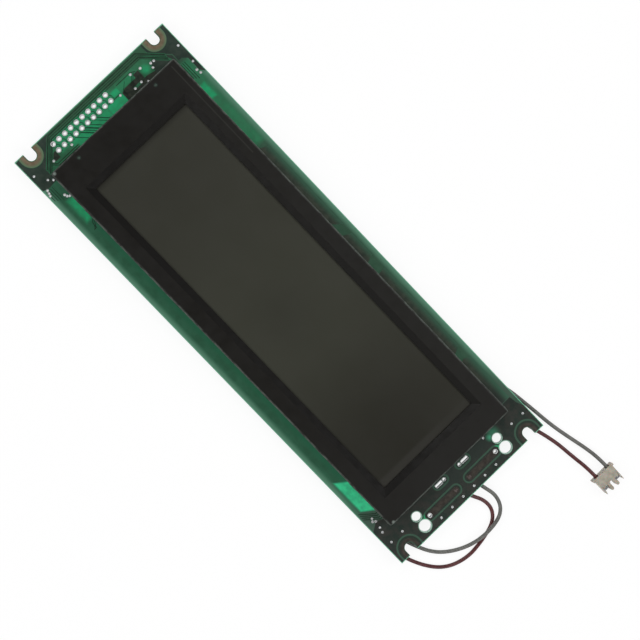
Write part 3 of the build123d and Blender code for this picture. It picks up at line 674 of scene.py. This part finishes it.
laminate()
bezel_paint()
display_film()
land_copper()
elastomer()
joint_solder()
masked("masked_plane", (48, 66, 57), (64, 78, 68), 2.4)
lead_end_mask()
masked("back_part_shadow", (44, 55, 46), (64, 72, 60), 1.1)
strip_mask()
masked("masked_track", (31, 56, 41), (43, 74, 55), 1.6, 0.008, 0.6)
masked("masked_track_bright", (28, 82, 58), (36, 98, 70), 1.6, 0.008, 0.6)
mottled("masked_back_track", (38, 106, 72), (46, 122, 84), 1.6, (0.32, 0.46), 0.008, 0.6)
mottled("hole_tin", (236, 239, 240), (248, 250, 250), 0.7, (0.25, 0.4), 0.008, 0.3, Metallic=0.1)
mottled("pilot_back", (70, 88, 78), (84, 102, 92), 0.4, (0.5, 0.6), 0.005, 0.2)
mottled("bright_tin", (196, 198, 200), (226, 228, 230), 0.7, (0.2, 0.4), 0.01, 0.3, Metallic=0.9)
mottled("solder", (168, 170, 172), (206, 208, 210), 0.8, (0.25, 0.45), 0.02, 0.35, Metallic=0.9)
mottled("tinned_lead", (170, 170, 168), (205, 205, 203), 1.2, (0.3, 0.45), 0.01, 0.3, Metallic=0.85)
mottled("moulded_epoxy", (24, 24, 25), (36, 36, 37), 3.0, (0.55, 0.72), 0.02, 0.15)
mottled("potting_epoxy", (14, 14, 15), (24, 24, 25), 5.0, (0.18, 0.32), 0.03, 2.2)
mottled("tantalum_case", (190, 140, 52), (212, 162, 66), 2.0, (0.45, 0.6), 0.015, 0.2)
mottled("resistor", (30, 30, 32), (150, 150, 150), 0.9, (0.35, 0.5), 0.01, 0.2)
mottled("ceramic", (138, 108, 80), (176, 150, 122), 0.9, (0.45, 0.6), 0.01, 0.2)
mottled("resonator_coat", (34, 62, 132), (48, 80, 152), 2.0, (0.25, 0.4), 0.02, 0.8)
mottled("cell_glass", (186, 202, 194), (206, 218, 211), 8.0, (0.04, 0.1), 0.002, 1.0,
        Transmission_Weight=0.8, IOR=1.52)
mottled("cushion", (28, 28, 28), (40, 40, 40), 3.0, (0.8, 0.95), 0.05, 0.25)
mottled("white_plastic", (222, 222, 216), (236, 236, 232), 5.0, (0.4, 0.55), 0.02, 0.4)
mottled("clear_plastic", (224, 232, 224), (238, 243, 238), 8.0, (0.05, 0.12), 0.002, 0.6,
        Transmission_Weight=0.9, IOR=1.49)
mottled("white_film", (230, 230, 226), (242, 242, 240), 6.0, (0.35, 0.5), 0.01, 0.3)
mottled("lamp_body", (206, 214, 120), (232, 232, 200), 1.0, (0.3, 0.45), 0.01, 0.3)
insulation("grey_insulation", (117, 117, 113), (133, 132, 127))
insulation("red_insulation", (93, 46, 47), (111, 57, 58))
mottled("nylon", (188, 180, 163), (213, 206, 190), 1.6, (0.38, 0.52), 0.015, 0.5,
        Subsurface_Weight=0.25, Subsurface_Scale=0.001)

finished_nodes = {
    "laminate": ["circuit_board", "lamp_board"],
    "land_copper": ["slot_lands", "backlight_lands"],
    "bezel_paint": ["bezel"],
    "display_film": ["front_polarizer", "rear_polarizer"],
    "cell_glass": ["front_glass", "rear_glass"],
    "cushion": ["cushion_frame"],
    "elastomer": ["upper_contact_strip", "lower_contact_strip", "left_contact_strip"],
    "white_film": ["diffuser", "reflector"],
    "clear_plastic": ["light_guide"],
    "white_plastic": ["backlight_frame"],
    "lamp_body": ["lamps"],
    "bright_tin": ["header_rings", "crimp_terminals"],
    "tinned_lead": ["lamp_pins", "controller_leads", "memory_leads", "small_package_leads",
                    "tantalum_terminals"],
    "moulded_epoxy": ["controller", "memory", "small_packages"],
    "potting_epoxy": ["column_drivers", "row_driver"],
    "tantalum_case": ["tantalum_capacitors"],
    "resistor": ["chip_resistors"],
    "ceramic": ["chip_capacitors"],
    "resonator_coat": ["resonator"],
    "joint_solder": ["wire_joints"],
    "grey_insulation": ["grey_wire"],
    "red_insulation": ["red_wire"],
    "nylon": ["connector_housing"],
}
for finish_name, node_names in finished_nodes.items():
    for node_name in node_names:
        slots = nodes[node_name].data.materials
        slots.clear()
        slots.append(materials[finish_name])


# Camera

def aim_camera():
    camera = add("camera", bpy.data.cameras.new("camera"))
    camera.data.sensor_width = sensor
    camera.data.lens = focal_length
    camera.data.clip_start, camera.data.clip_end = camera_clip
    place = Vector(camera_place)
    back = (place - Vector(camera_target)).normalized()
    turn = math.radians(camera_up_turn)
    right = Vector((math.cos(turn), math.sin(turn), 0)).cross(back).normalized()
    up = back.cross(right)
    matrix = Matrix((right, up, back)).transposed().to_4x4()
    matrix.translation = place * MM
    camera.matrix_world = matrix
    scene.camera = camera


aim_camera()


# Wires

def wire_route(end, exit_turn, first_bend, tail):
    """The route's points: straight out of the joint, and then the points of the loop."""
    turn = math.radians(exit_turn)
    start = [(joint_x + away * math.cos(turn), end * joint_y + away * math.sin(turn), joint_wire_z)
             for away in (wire_start, first_bend)]
    return start + tail


def wire_curve(name, route, finish):
    curve = bpy.data.curves.new(name, "CURVE")
    curve.dimensions = "3D"
    spline = curve.splines.new("NURBS")
    spline.points.add(len(route) - 1)
    for point, place in zip(spline.points, route):
        point.co = (*(Vector(place) * MM), 1.0)
    spline.order_u = 3
    spline.use_endpoint_u = True
    spline.resolution_u = 12
    curve.bevel_depth = wire_diameter / 2 * MM
    curve.bevel_resolution = 6
    curve.use_fill_caps = True
    curve.materials.append(materials[finish])
    return add(name, curve)


def dress_wire(name, route, node, slot_name):
    piece = wire_curve(name, route, slot_name)
    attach(piece, "root")
    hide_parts(node)


dress_wire("grey_lead", wire_route(1, grey_exit, grey_first_bend, grey_tail), "grey_wire",
           "grey_insulation")
dress_wire("red_lead", wire_route(-1, red_exit, red_first_bend, red_tail), "red_wire",
           "red_insulation")


# Copper under the mask, as thin raised layers on the board's face

via_holes = [disc(x, y, via_radius + 0.04, 12) for x, y in all_vias()]
header_openings = [disc(x, y, header_radius + 0.02, 20) for x, y in header_holes]


def at_ends(shape, *sizes):
    return [shape(end, *sizes) for end in ends]


def slot_clearances(grow):
    radius = slot_land_radius + grow
    shapes = []
    for side in sides:
        for end in ends:
            shapes += [disc(side * slot_x, end * slot_y, radius, 40), slot_mouth(side, end, radius)]
    return shapes


def land_stroke(end, half_width):
    """A capsule along a backlight land."""
    y0 = land_reach[0] + land_half_width
    y1 = land_reach[1] - land_half_width
    return capsule((land_x, end * y0), (land_x, end * y1), 2 * half_width, 12)


def clip_stroke(end, half_width):
    """A capsule over the clip's slot and hole."""
    return capsule((clip_x, end * clip_reach[0]), (clip_x, end * clip_reach[1]), 2 * half_width, 10)


def tool_discs(grow):
    return [disc(x, end * y, radius + grow, 32) for x, y, radius in tool_holes for end in ends]


def lead_end_plane():
    """The wide plane at the lead end with a gap round each land, slot and hole, and rims in some gaps."""
    outline = [(80.4, 32.25), (89.75, 32.25), (89.75, -32.25), (76.0, -32.25), (73.9, -29.0), (75.4, -26.0),
               (75.4, 30.8), (78.2, 31.2)]
    gaps = slot_clearances(0.6) + tool_discs(tool_gap) + via_holes
    gaps += at_ends(land_stroke, land_gap) + at_ends(clip_stroke, clip_gap)
    flat_copper("lead_end_plane", [outline], gaps, "masked_plane_lead_end")
    rims = at_ends(land_stroke, land_rim) + at_ends(clip_stroke, clip_rim)
    openings = at_ends(land_stroke, land_half_width + 0.02) + tool_discs(tool_gap)
    openings += at_ends(clip_stroke, clip_opening)
    flat_copper("land_rims", rims, openings, "masked_plane_lead_end")


def hole_rims():
    """Tinned rims of the open lead holes and of the clips' holes and slots."""
    rims, openings = [], []
    slot_middle, slot_width, slot_length = clip_slot
    hole_y, hole_radius = clip_hole
    for end in ends:
        middle = (clip_x, end * slot_middle)
        rims += [cut_block(*middle, slot_width / 2 + 0.25, slot_length / 2 + 0.15, 0.25),
                 disc(clip_x, end * hole_y, hole_radius + 0.22)]
        openings += [centred(*middle, slot_width / 2, slot_length / 2),
                     disc(clip_x, end * hole_y, hole_radius)]
    flat_copper("clip_rims", rims, openings, "hole_tin", lift=0.04, slot_name="solder")
    open_y = land_reach[1] - 1.1
    rims = [disc(land_x, end * open_y, lead_hole_radius + 0.3) for end in ends]
    openings = [disc(land_x, end * open_y, lead_hole_radius) for end in ends]
    flat_copper("lead_hole_rims", rims, openings, "hole_tin", base=land_top, lift=0.03, slot_name="solder")


def tab_slot_shade():
    """Dark fills at half the board's depth in the slots round the bezel's tabs: painted shade that stops
    light showing through them.
    """
    run = (bezel_high[0] - bezel_low[0] - 2 * tab_inset_long) / (tab_count - 1)
    half_width, half_length = tab_slot_width / 2, tab_slot_length / 2
    fillings = []
    for end in ends:
        y = end * (bezel_high[1] - half_width + tab_slot_outset)
        fillings += [centred(bezel_low[0] + tab_inset_long + index * run, y, half_length, half_width)
                     for index in range(tab_count)]
        inset = half_width - tab_slot_outset
        x = bezel_high[0] - inset if end > 0 else bezel_low[0] + inset
        fillings += [centred(x, tab_end * tab_short_y, half_width, half_length) for tab_end in ends]
    flat_copper("tab_slot_shade", fillings, [], "moulded_epoxy", board_back + 0.5, 0.6, "bezel_black")


# Lines along the header's edge, each the X of its long run and its width; all turn to the two corners
edge_lines = [(-88.9, 0.5), (-88.15, 0.25), (-87.4, 0.45), (-86.75, 0.2)]


def edge_line(x, width):
    return track([(x + 6.6, 26.0), (x, 19.4), (x, -18.8), (x + 7.6, -26.4)], width)


def header_end_planes():
    """Planes at the two corners of the header end, and dark blocks beside the header: painted shadows of
    parts on the back, as seen with light coming through the board.
    """
    planes = [
        [(-89.6, 32.25), (-69.6, 32.25), (-71.2, 30.9), (-76.4, 30.9), (-77.8, 29.4), (-77.8, 20.4),
         (-81.9, 20.4), (-84.9, 22.5), (-89.6, 22.3)],
        [(-89.6, -32.25), (-77.3, -32.25), (-76.6, -30.0), (-77.0, -26.0), (-80.2, -26.8),
         (-84.8, -22.6), (-86.6, -21.4), (-88.4, -18.9), (-89.6, -18.6)],
    ]
    lines = [stroke for x, width in edge_lines for stroke in edge_line(x, width + 0.4)]
    gaps = slot_clearances(0.12) + via_holes + header_openings + lines
    gaps += track([(-84.0, 22.4), (-79.8, 26.6), (-77.5, 26.6)], 0.7)
    gaps += track([(-85.2, 23.3), (-80.6, 27.9), (-76.8, 27.9)], 0.3)
    flat_copper("header_end_planes", planes, gaps, "masked_plane")
    # Painted shadows: dark blocks where parts on the back would stop light coming through the board
    shadow_blocks = [
        [(-83.2, 14.2), (-79.0, 14.2), (-78.0, 14.2), (-78.0, 7.7), (-82.5, 7.7), (-83.2, 9.4)],
        [(-84.5, 14.4), (-84.5, 16.4), (-81.4, 16.4), (-81.4, 14.2), (-84.0, 14.2)],
        [(-81.4, 14.2), (-78.0, 14.2), (-78.0, 20.4), (-80.6, 20.4), (-81.2, 18.0)],
        [(-84.0, -20.5), (-81.3, -20.5), (-81.3, -22.4), (-82.4, -23.2), (-83.6, -22.0)],
    ]
    gaps = via_holes + header_openings + lines + track([(-81.0, 11.8), (-81.0, 14.7)], 0.9)
    flat_copper("header_shadow_blocks", shadow_blocks, gaps, "back_part_shadow")


def strip_planes():
    """Long planes under the upper edge of the bezel, with slanting ends."""
    shapes = [
        [(-40.2, 26.5), (-38.4, 30.3), (-3.4, 30.3), (-6.8, 26.5)],
        [(-1.4, 26.5), (0.6, 30.3), (10.2, 30.3), (11.4, 26.5)],
        [(16.4, 26.5), (16.0, 30.3), (51.4, 30.3), (53.0, 26.5)],
        [(56.4, 26.5), (55.6, 28.4), (56.6, 30.7), (75.2, 30.7), (75.2, 26.5)],
    ]
    flat_copper("strip_planes", shapes, via_holes, "masked_plane_strip")


# Lines of the fan beside the header, each its Y and its width
fan_lines = [(-2.9, 0.3), (-4.1, 0.2), (-6.2, 0.25), (-7.7, 0.45), (-8.8, 0.25), (-9.9, 0.4), (-12.2, 0.25)]


def header_tracks():
    """Lines along the header's edge that turn to the corners, and the fan beside it."""
    shapes = []
    for x, width in edge_lines:
        shapes += edge_line(x, width)
    shapes += track([(-85.6, 8.0), (-85.6, 14.0), (-84.9, 15.4)], 0.25)
    for x in (-80.4, -79.7):
        shapes += track([(x, -13.8), (x, -22.6), (x - 1.6, -24.2)], 0.28)
    flat_copper("header_tracks", shapes, via_holes + slot_clearances(0.12), "masked_track")
    fan = []
    for y, width in fan_lines:
        fan += track([(-82.6, y - 0.6), (-82.0, y), (-79.4, y + 2.6), (-77.6, y + 2.6)], width)
    half_pitch = header_pitch / 2
    for x, y in header_holes[:header_rows]:
        fan += track([(x, y), (x + half_pitch, y + half_pitch), (x + header_pitch, y + half_pitch)], 0.25)
        fan += track([(x, y), (x - 1.1, y - 0.5)], 0.3)
    for x, y in header_holes[header_rows:header_rows + 6]:
        fan += track([(x, y), (x + 0.9, y + 0.9)], 0.25)
    for y in (8.6, 11.9, 12.6):
        fan += track([(-84.8, y + 2.2), (-82.9, y), (-81.0, y)], 0.22)
    fan += track([(-82.9, 7.4), (-82.9, 2.0)], 0.25)
    flat_copper("header_fan", fan, via_holes + header_openings, "masked_track_bright")


def strip_tracks():
    """Lines that come out from under the bezel in the long strips."""
    shapes = []
    for index in range(4):
        x = 72.0 + 0.8 * index
        shapes += track([(68.4 + 0.8 * index, -31.6), (x, -27.4), (x, -25.0)], 0.3)
    for index in range(3):
        x = -60.8 + 0.7 * index
        shapes += track([(x, -26.0), (x + 1.4, -27.8), (-57.2, -27.9 - 0.5 * index)], 0.2)
    for index in range(3):
        y = 27.6 + 0.75 * index
        shapes += track([(-76.2, y), (-70.4 + 0.6 * index, y)], 0.22)
    for index in range(4):
        y = -31.6 + 0.8 * index
        shapes += track([(-76.2, y), (-72.4 + 0.5 * index, y)], 0.22)
    flat_copper("strip_tracks", shapes, via_holes, "masked_track")


def back_tracks():
    """Lines and planes on the back, between the header, the controller, the memory and the drivers."""
    lines = []
    for index, (x, y) in enumerate(header_holes[header_rows:header_rows + 8]):
        level = -13.4 + 0.9 * index
        lead_x = -48.0 - 1.0 * index
        turn_x = -79.0 + abs(y - level)
        lines += track([(x, y), (-79.0, y), (turn_x, level), (lead_x, level), (lead_x, -5.2)], 0.3)
    for index in range(6):
        lead_x = -20.3 + 1.27 * index
        level = 2.2 - 0.8 * index
        lines += track([(-36.2, level), (lead_x + level - 3.1, level), (lead_x, 3.1)], 0.25)
    for index in range(5):
        lead_x = -46.0 + 0.8 * index
        level = -24.6 - 0.8 * index
        lines += track([(lead_x, -5.2), (lead_x, level), (32.0, level)], 0.3)
        for start in (-36.0, -6.0, 24.0):
            lines += track([(start + 1.1 * index, level), (start + 1.1 * index, -21.6)], 0.3)
    for index in range(4):
        x0, x1 = -44.0 + index, -18.0 - index
        level = 16.0 + 0.9 * index
        lines += track([(x0, 12.8), (x0, level), (x1, level), (x1, 14.6)], 0.25)
    under = ("masked_back_track", board_back, -copper_lift)
    flat_copper("back_tracks", lines, via_holes + header_openings, *under)
    planes = [block(-66.0, 26.6, 62.0, 30.4), block(-30.0, -31.4, 44.0, -29.2),
              block(36.0, -6.0, 48.0, 16.0)]
    flat_copper("back_planes", planes, via_holes, *under)


def back_pads():
    """Tinned pads under the ends of the small parts on the back."""
    pads = []
    for places, reach, *size in ((tantalum_places, 3.2, 1.0, 1.4), (capacitor_places, 1.0, 0.4, 0.75)):
        pads += [centred(x + side * reach, y, *size) for x, y in places for side in sides]
    x, y = resistor_start
    pads += [centred(x + index * resistor_pitch, y + end * 1.0, 0.75, 0.4)
             for index in range(resistor_count) for end in ends]
    flat_copper("back_pads", pads, [], "solder", board_back, -0.02, "solder")


lead_end_plane()
hole_rims()
tab_slot_shade()
back_tracks()
back_pads()
header_end_planes()
strip_planes()
header_tracks()
strip_tracks()


# Tinned rings and barrels, turned about each hole

def circle_turns(steps):
    """The cosines and sines of even steps round a full turn."""
    turns = [2 * math.pi * index / steps for index in range(steps)]
    return [(math.cos(turn), math.sin(turn)) for turn in turns]


def turned(bm, x, y, profile, steps):
    """A closed ring: the profile, a loop of (radius, height), turned about a vertical axis."""
    rows = [[bm.verts.new((x + radius * across, y + radius * along, height)) for radius, height in profile]
            for across, along in circle_turns(steps)]
    count = len(profile)
    for row, following in zip(rows, rows[1:] + rows[:1]):
        for index in range(count):
            after = (index + 1) % count
            bm.faces.new((row[index], following[index], following[after], row[after]))


def barrel(hole, ring, thickness):
    """Profile of a plated hole: its wall, and a rounded ring on both faces of the board."""
    wall = hole - 0.03
    half = [(wall, thickness), (wall + 0.05, thickness + 0.02), (ring - 0.08, thickness), (ring, 0.01),
            (ring, -0.01), (hole, -0.01)]
    above = [(radius, board_face + rise) for radius, rise in half]
    below = [(radius, board_back - rise) for radius, rise in half]
    return below[:1] + above + below[:0:-1]


def plated_holes():
    bm = bmesh.new()
    for x, y in header_holes:
        turned(bm, x, y, barrel(header_radius, header_ring_radius, 0.05), 32)
    piece = new_piece("tinned_header_holes", bm, "hole_tin", smooth=True)
    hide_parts("header_rings")
    bm = bmesh.new()
    for x, y in all_vias():
        turned(bm, x, y, barrel(via_radius - 0.02, via_radius + 0.2, 0.04), 16)
    new_piece("via_barrels", bm, "hole_tin", smooth=True)


plated_holes()


# Solder fillets, epoxy and the bezel's corners

def join(bm, rows):
    """Faces between rows of points that run round."""
    for row, following in zip(rows, rows[1:]):
        for index in range(len(row)):
            bm.faces.new((row[index - 1], row[index], following[index], following[index - 1]))


def mound(bm, x, y, half_x, half_y, base, height, squareness=2.0, rings=8, steps=40):
    """A low mound that rises from the base by the height, or hangs from it where the height is negative."""
    rows = []
    for ring in range(rings):
        lift = math.pi / 2 * ring / rings
        spread = math.cos(lift) ** 0.6
        row = []
        for across, along in circle_turns(steps):
            away = spread * (abs(across) ** squareness + abs(along) ** squareness) ** (-1 / squareness)
            row.append(bm.verts.new((x + half_x * away * across, y + half_y * away * along,
                                     base + height * math.sin(lift))))
        rows.append(row)
    tip = bm.verts.new((x, y, base + height))
    join(bm, rows)
    for index in range(steps):
        bm.faces.new((rows[-1][index - 1], rows[-1][index], tip))
    bm.faces.new(rows[0])


def chip_epoxy(name, node, length, count):
    """Epoxy that has flowed over a row of driver chips, in place of the plain blocks."""
    low, high = box_in_mm(node)
    half_y = (high[1] - low[1]) / 2
    bm = bmesh.new()
    for index in range(count):
        x = low[0] + length / 2 + index * driver_pitch
        mound(bm, x, low[1] + half_y, length / 2, half_y, board_back, low[2] - board_back, epoxy_squareness)
    piece = new_piece(name, bm, "potting_epoxy", smooth=True)
    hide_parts(node)


def bare_core(bm, start, turn, length, steps=16):
    """The stripped end of a wire, a round rod along the wire's way out."""
    along = Vector((math.cos(turn), math.sin(turn), 0)) * length
    sideways = Vector((-math.sin(turn), math.cos(turn), 0)) * core_radius
    upward = Vector((0, 0, core_radius))
    rows = []
    for middle in (Vector(start), Vector(start) + along):
        rows.append([bm.verts.new(middle + sideways * across + upward * rise)
                     for across, rise in circle_turns(steps)])
    join(bm, rows)
    for row in rows:
        bm.faces.new(row)


def solder_joints():
    """Solder drawn up the wire's bare end on the back, through the hole, and into a cap on the face."""
    neck = 0.36
    tip_z = board_back - joint_height
    cap_z = board_face + copper_lift
    profile = [(0.02, tip_z)]
    for step in range(9):
        share = step / 8
        radius = neck + (joint_radius - neck) * share ** 2.2
        profile.append((radius, tip_z + 0.05 + (joint_height - 0.06) * share))
    profile += [(lead_hole_radius, board_back), (lead_hole_radius, cap_z)]
    for step in range(7):
        turn = math.pi / 2 * step / 6
        radius = max(joint_cap_radius * math.cos(turn), 0.02)
        profile.append((radius, cap_z + joint_cap_height * math.sin(turn)))
    bm = bmesh.new()
    for end, turn in ((1, grey_exit), (-1, red_exit)):
        turned(bm, joint_x, end * joint_y, profile, 28)
        bare_core(bm, (joint_x, end * joint_y, joint_wire_z), math.radians(turn), wire_start)
    piece = new_piece("wire_solder_joints", bm, "joint_solder", smooth=True)
    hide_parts("wire_joints")


def bezel_closings():
    """Paint that closes the bezel's folded corners, and the surface seen down its two pilot holes."""
    inset, radius = 0.85, 0.78
    bm = bmesh.new()
    for x in (bezel_low[0] + inset, bezel_high[0] - inset):
        for y in (bezel_low[1] + inset, bezel_high[1] - inset):
            mound(bm, x, y, radius, radius, bezel_high[2] - 0.75, 0.73, squareness=3.0, steps=24)
    new_piece("bezel_corner_paint", bm, "bezel_paint", smooth=True)
    bm = bmesh.new()
    for end in ends:
        mound(bm, pilot_x, end * pilot_y, pilot_radius, pilot_radius, bezel_high[2] - 0.3, 0.12,
              rings=4, steps=20)
    new_piece("pilot_hole_backs", bm, "pilot_back", smooth=True)


def soften(name, width):
    """Rounds a node's sharp edges a little where it is drawn."""
    node = nodes[name]
    weld = node.modifiers.new("weld", "WELD")
    weld.merge_threshold = 0.0005 * MM
    bevel = node.modifiers.new("soft_edges", "BEVEL")
    bevel.width = width * MM
    bevel.segments = 2
    bevel.limit_method = "ANGLE"
    bevel.angle_limit = math.radians(35)
    node.modifiers.new("even_normals", "WEIGHTED_NORMAL")


chip_epoxy("column_driver_epoxy", "column_drivers", driver_length, driver_count)
row_low, row_high = box_in_mm("row_driver")
chip_epoxy("row_driver_epoxy", "row_driver", row_high[0] - row_low[0], 1)
solder_joints()
bezel_closings()
for name, width in soft_edges.items():
    soften(name, width)


# Floor, light and view

def blend(tree, factor, first, second, target):
    """Sends the first shader to the target where the factor is 0, and the second where it is 1."""
    choose = tree.nodes.new("ShaderNodeMixShader")
    for source, socket in zip((factor, first, second), choose.inputs):
        tree.links.new(source, socket)
    tree.links.new(choose.outputs[0], target)


def white_rays(tree):
    """1 for camera, glossy and transmission rays."""
    path = tree.nodes.new("ShaderNodeLightPath")
    rays = ("Is Camera Ray", "Is Glossy Ray", "Is Transmission Ray")
    return most([Field(tree, path.outputs[name]) for name in rays]).socket


def floor_material():
    """Pale floor that shows white to the camera and still takes the module's shadow."""
    material = bpy.data.materials.new("floor")
    material.use_nodes = True
    tree = material.node_tree
    matt = tree.nodes["Principled BSDF"]
    matt.inputs["Base Color"].default_value = (0.8, 0.8, 0.8, 1)
    matt.inputs["Roughness"].default_value = 0.9
    matt.inputs["Specular IOR Level"].default_value = 0.0
    shade = tree.nodes.new("ShaderNodeBsdfDiffuse")
    shade.inputs["Color"].default_value = (0.16, 0.16, 0.16, 1)
    glow = tree.nodes.new("ShaderNodeEmission")
    glow.inputs["Strength"].default_value = 0.9
    seen = tree.nodes.new("ShaderNodeAddShader")
    tree.links.new(shade.outputs[0], seen.inputs[0])
    tree.links.new(glow.outputs[0], seen.inputs[1])
    surface = tree.nodes["Material Output"].inputs["Surface"]
    blend(tree, white_rays(tree), matt.outputs[0], seen.outputs[0], surface)
    return material


def make_floor():
    half = 3000.0
    drop = 0.03
    bm = bmesh.new()
    bm.faces.new([bm.verts.new((x * MM, y * MM, -drop * MM)) for x, y in block(-half, -half, half, half)])
    mesh = bpy.data.meshes.new("floor")
    bm.to_mesh(mesh)
    bm.free()
    mesh.materials.append(floor_material())
    floor = add("floor", mesh)


def make_world():
    """Soft surroundings, bright near the horizon and dim overhead, and plain white to the camera."""
    world = bpy.data.worlds.new("studio")
    world.use_nodes = True
    scene.world = world
    tree = world.node_tree
    background = tree.nodes["Background"]
    coordinates = tree.nodes.new("ShaderNodeTexCoord")
    upward = axes_of(tree, coordinates.outputs["Generated"])[2]
    tree.links.new(upward.ramp(0.2, 0.95, 1.0, 0.6, "LINEAR").socket, background.inputs["Strength"])
    white = tree.nodes.new("ShaderNodeBackground")
    path = tree.nodes.new("ShaderNodeLightPath")
    surface = tree.nodes["World Output"].inputs["Surface"]
    blend(tree, path.outputs["Is Camera Ray"], background.outputs[0], white.outputs[0], surface)


def make_lamp(name, place, size, power):
    data = bpy.data.lights.new(name, "AREA")
    data.shape = "DISK"
    data.size = size
    data.energy = power
    lamp = add(name, data)
    lamp.location = place
    lamp.rotation_mode = "QUATERNION"
    lamp.rotation_quaternion = (-Vector(place)).to_track_quat("-Z", "Y")


make_floor()
make_world()
for index, power in enumerate(lamp_powers):
    turn = math.radians(lamp_first_turn + 90 * index)
    place = (lamp_reach * math.cos(turn), lamp_reach * math.sin(turn), lamp_height)
    make_lamp("softbox_" + str(index + 1), place, lamp_size, power)
scene.view_settings.view_transform = "Standard"
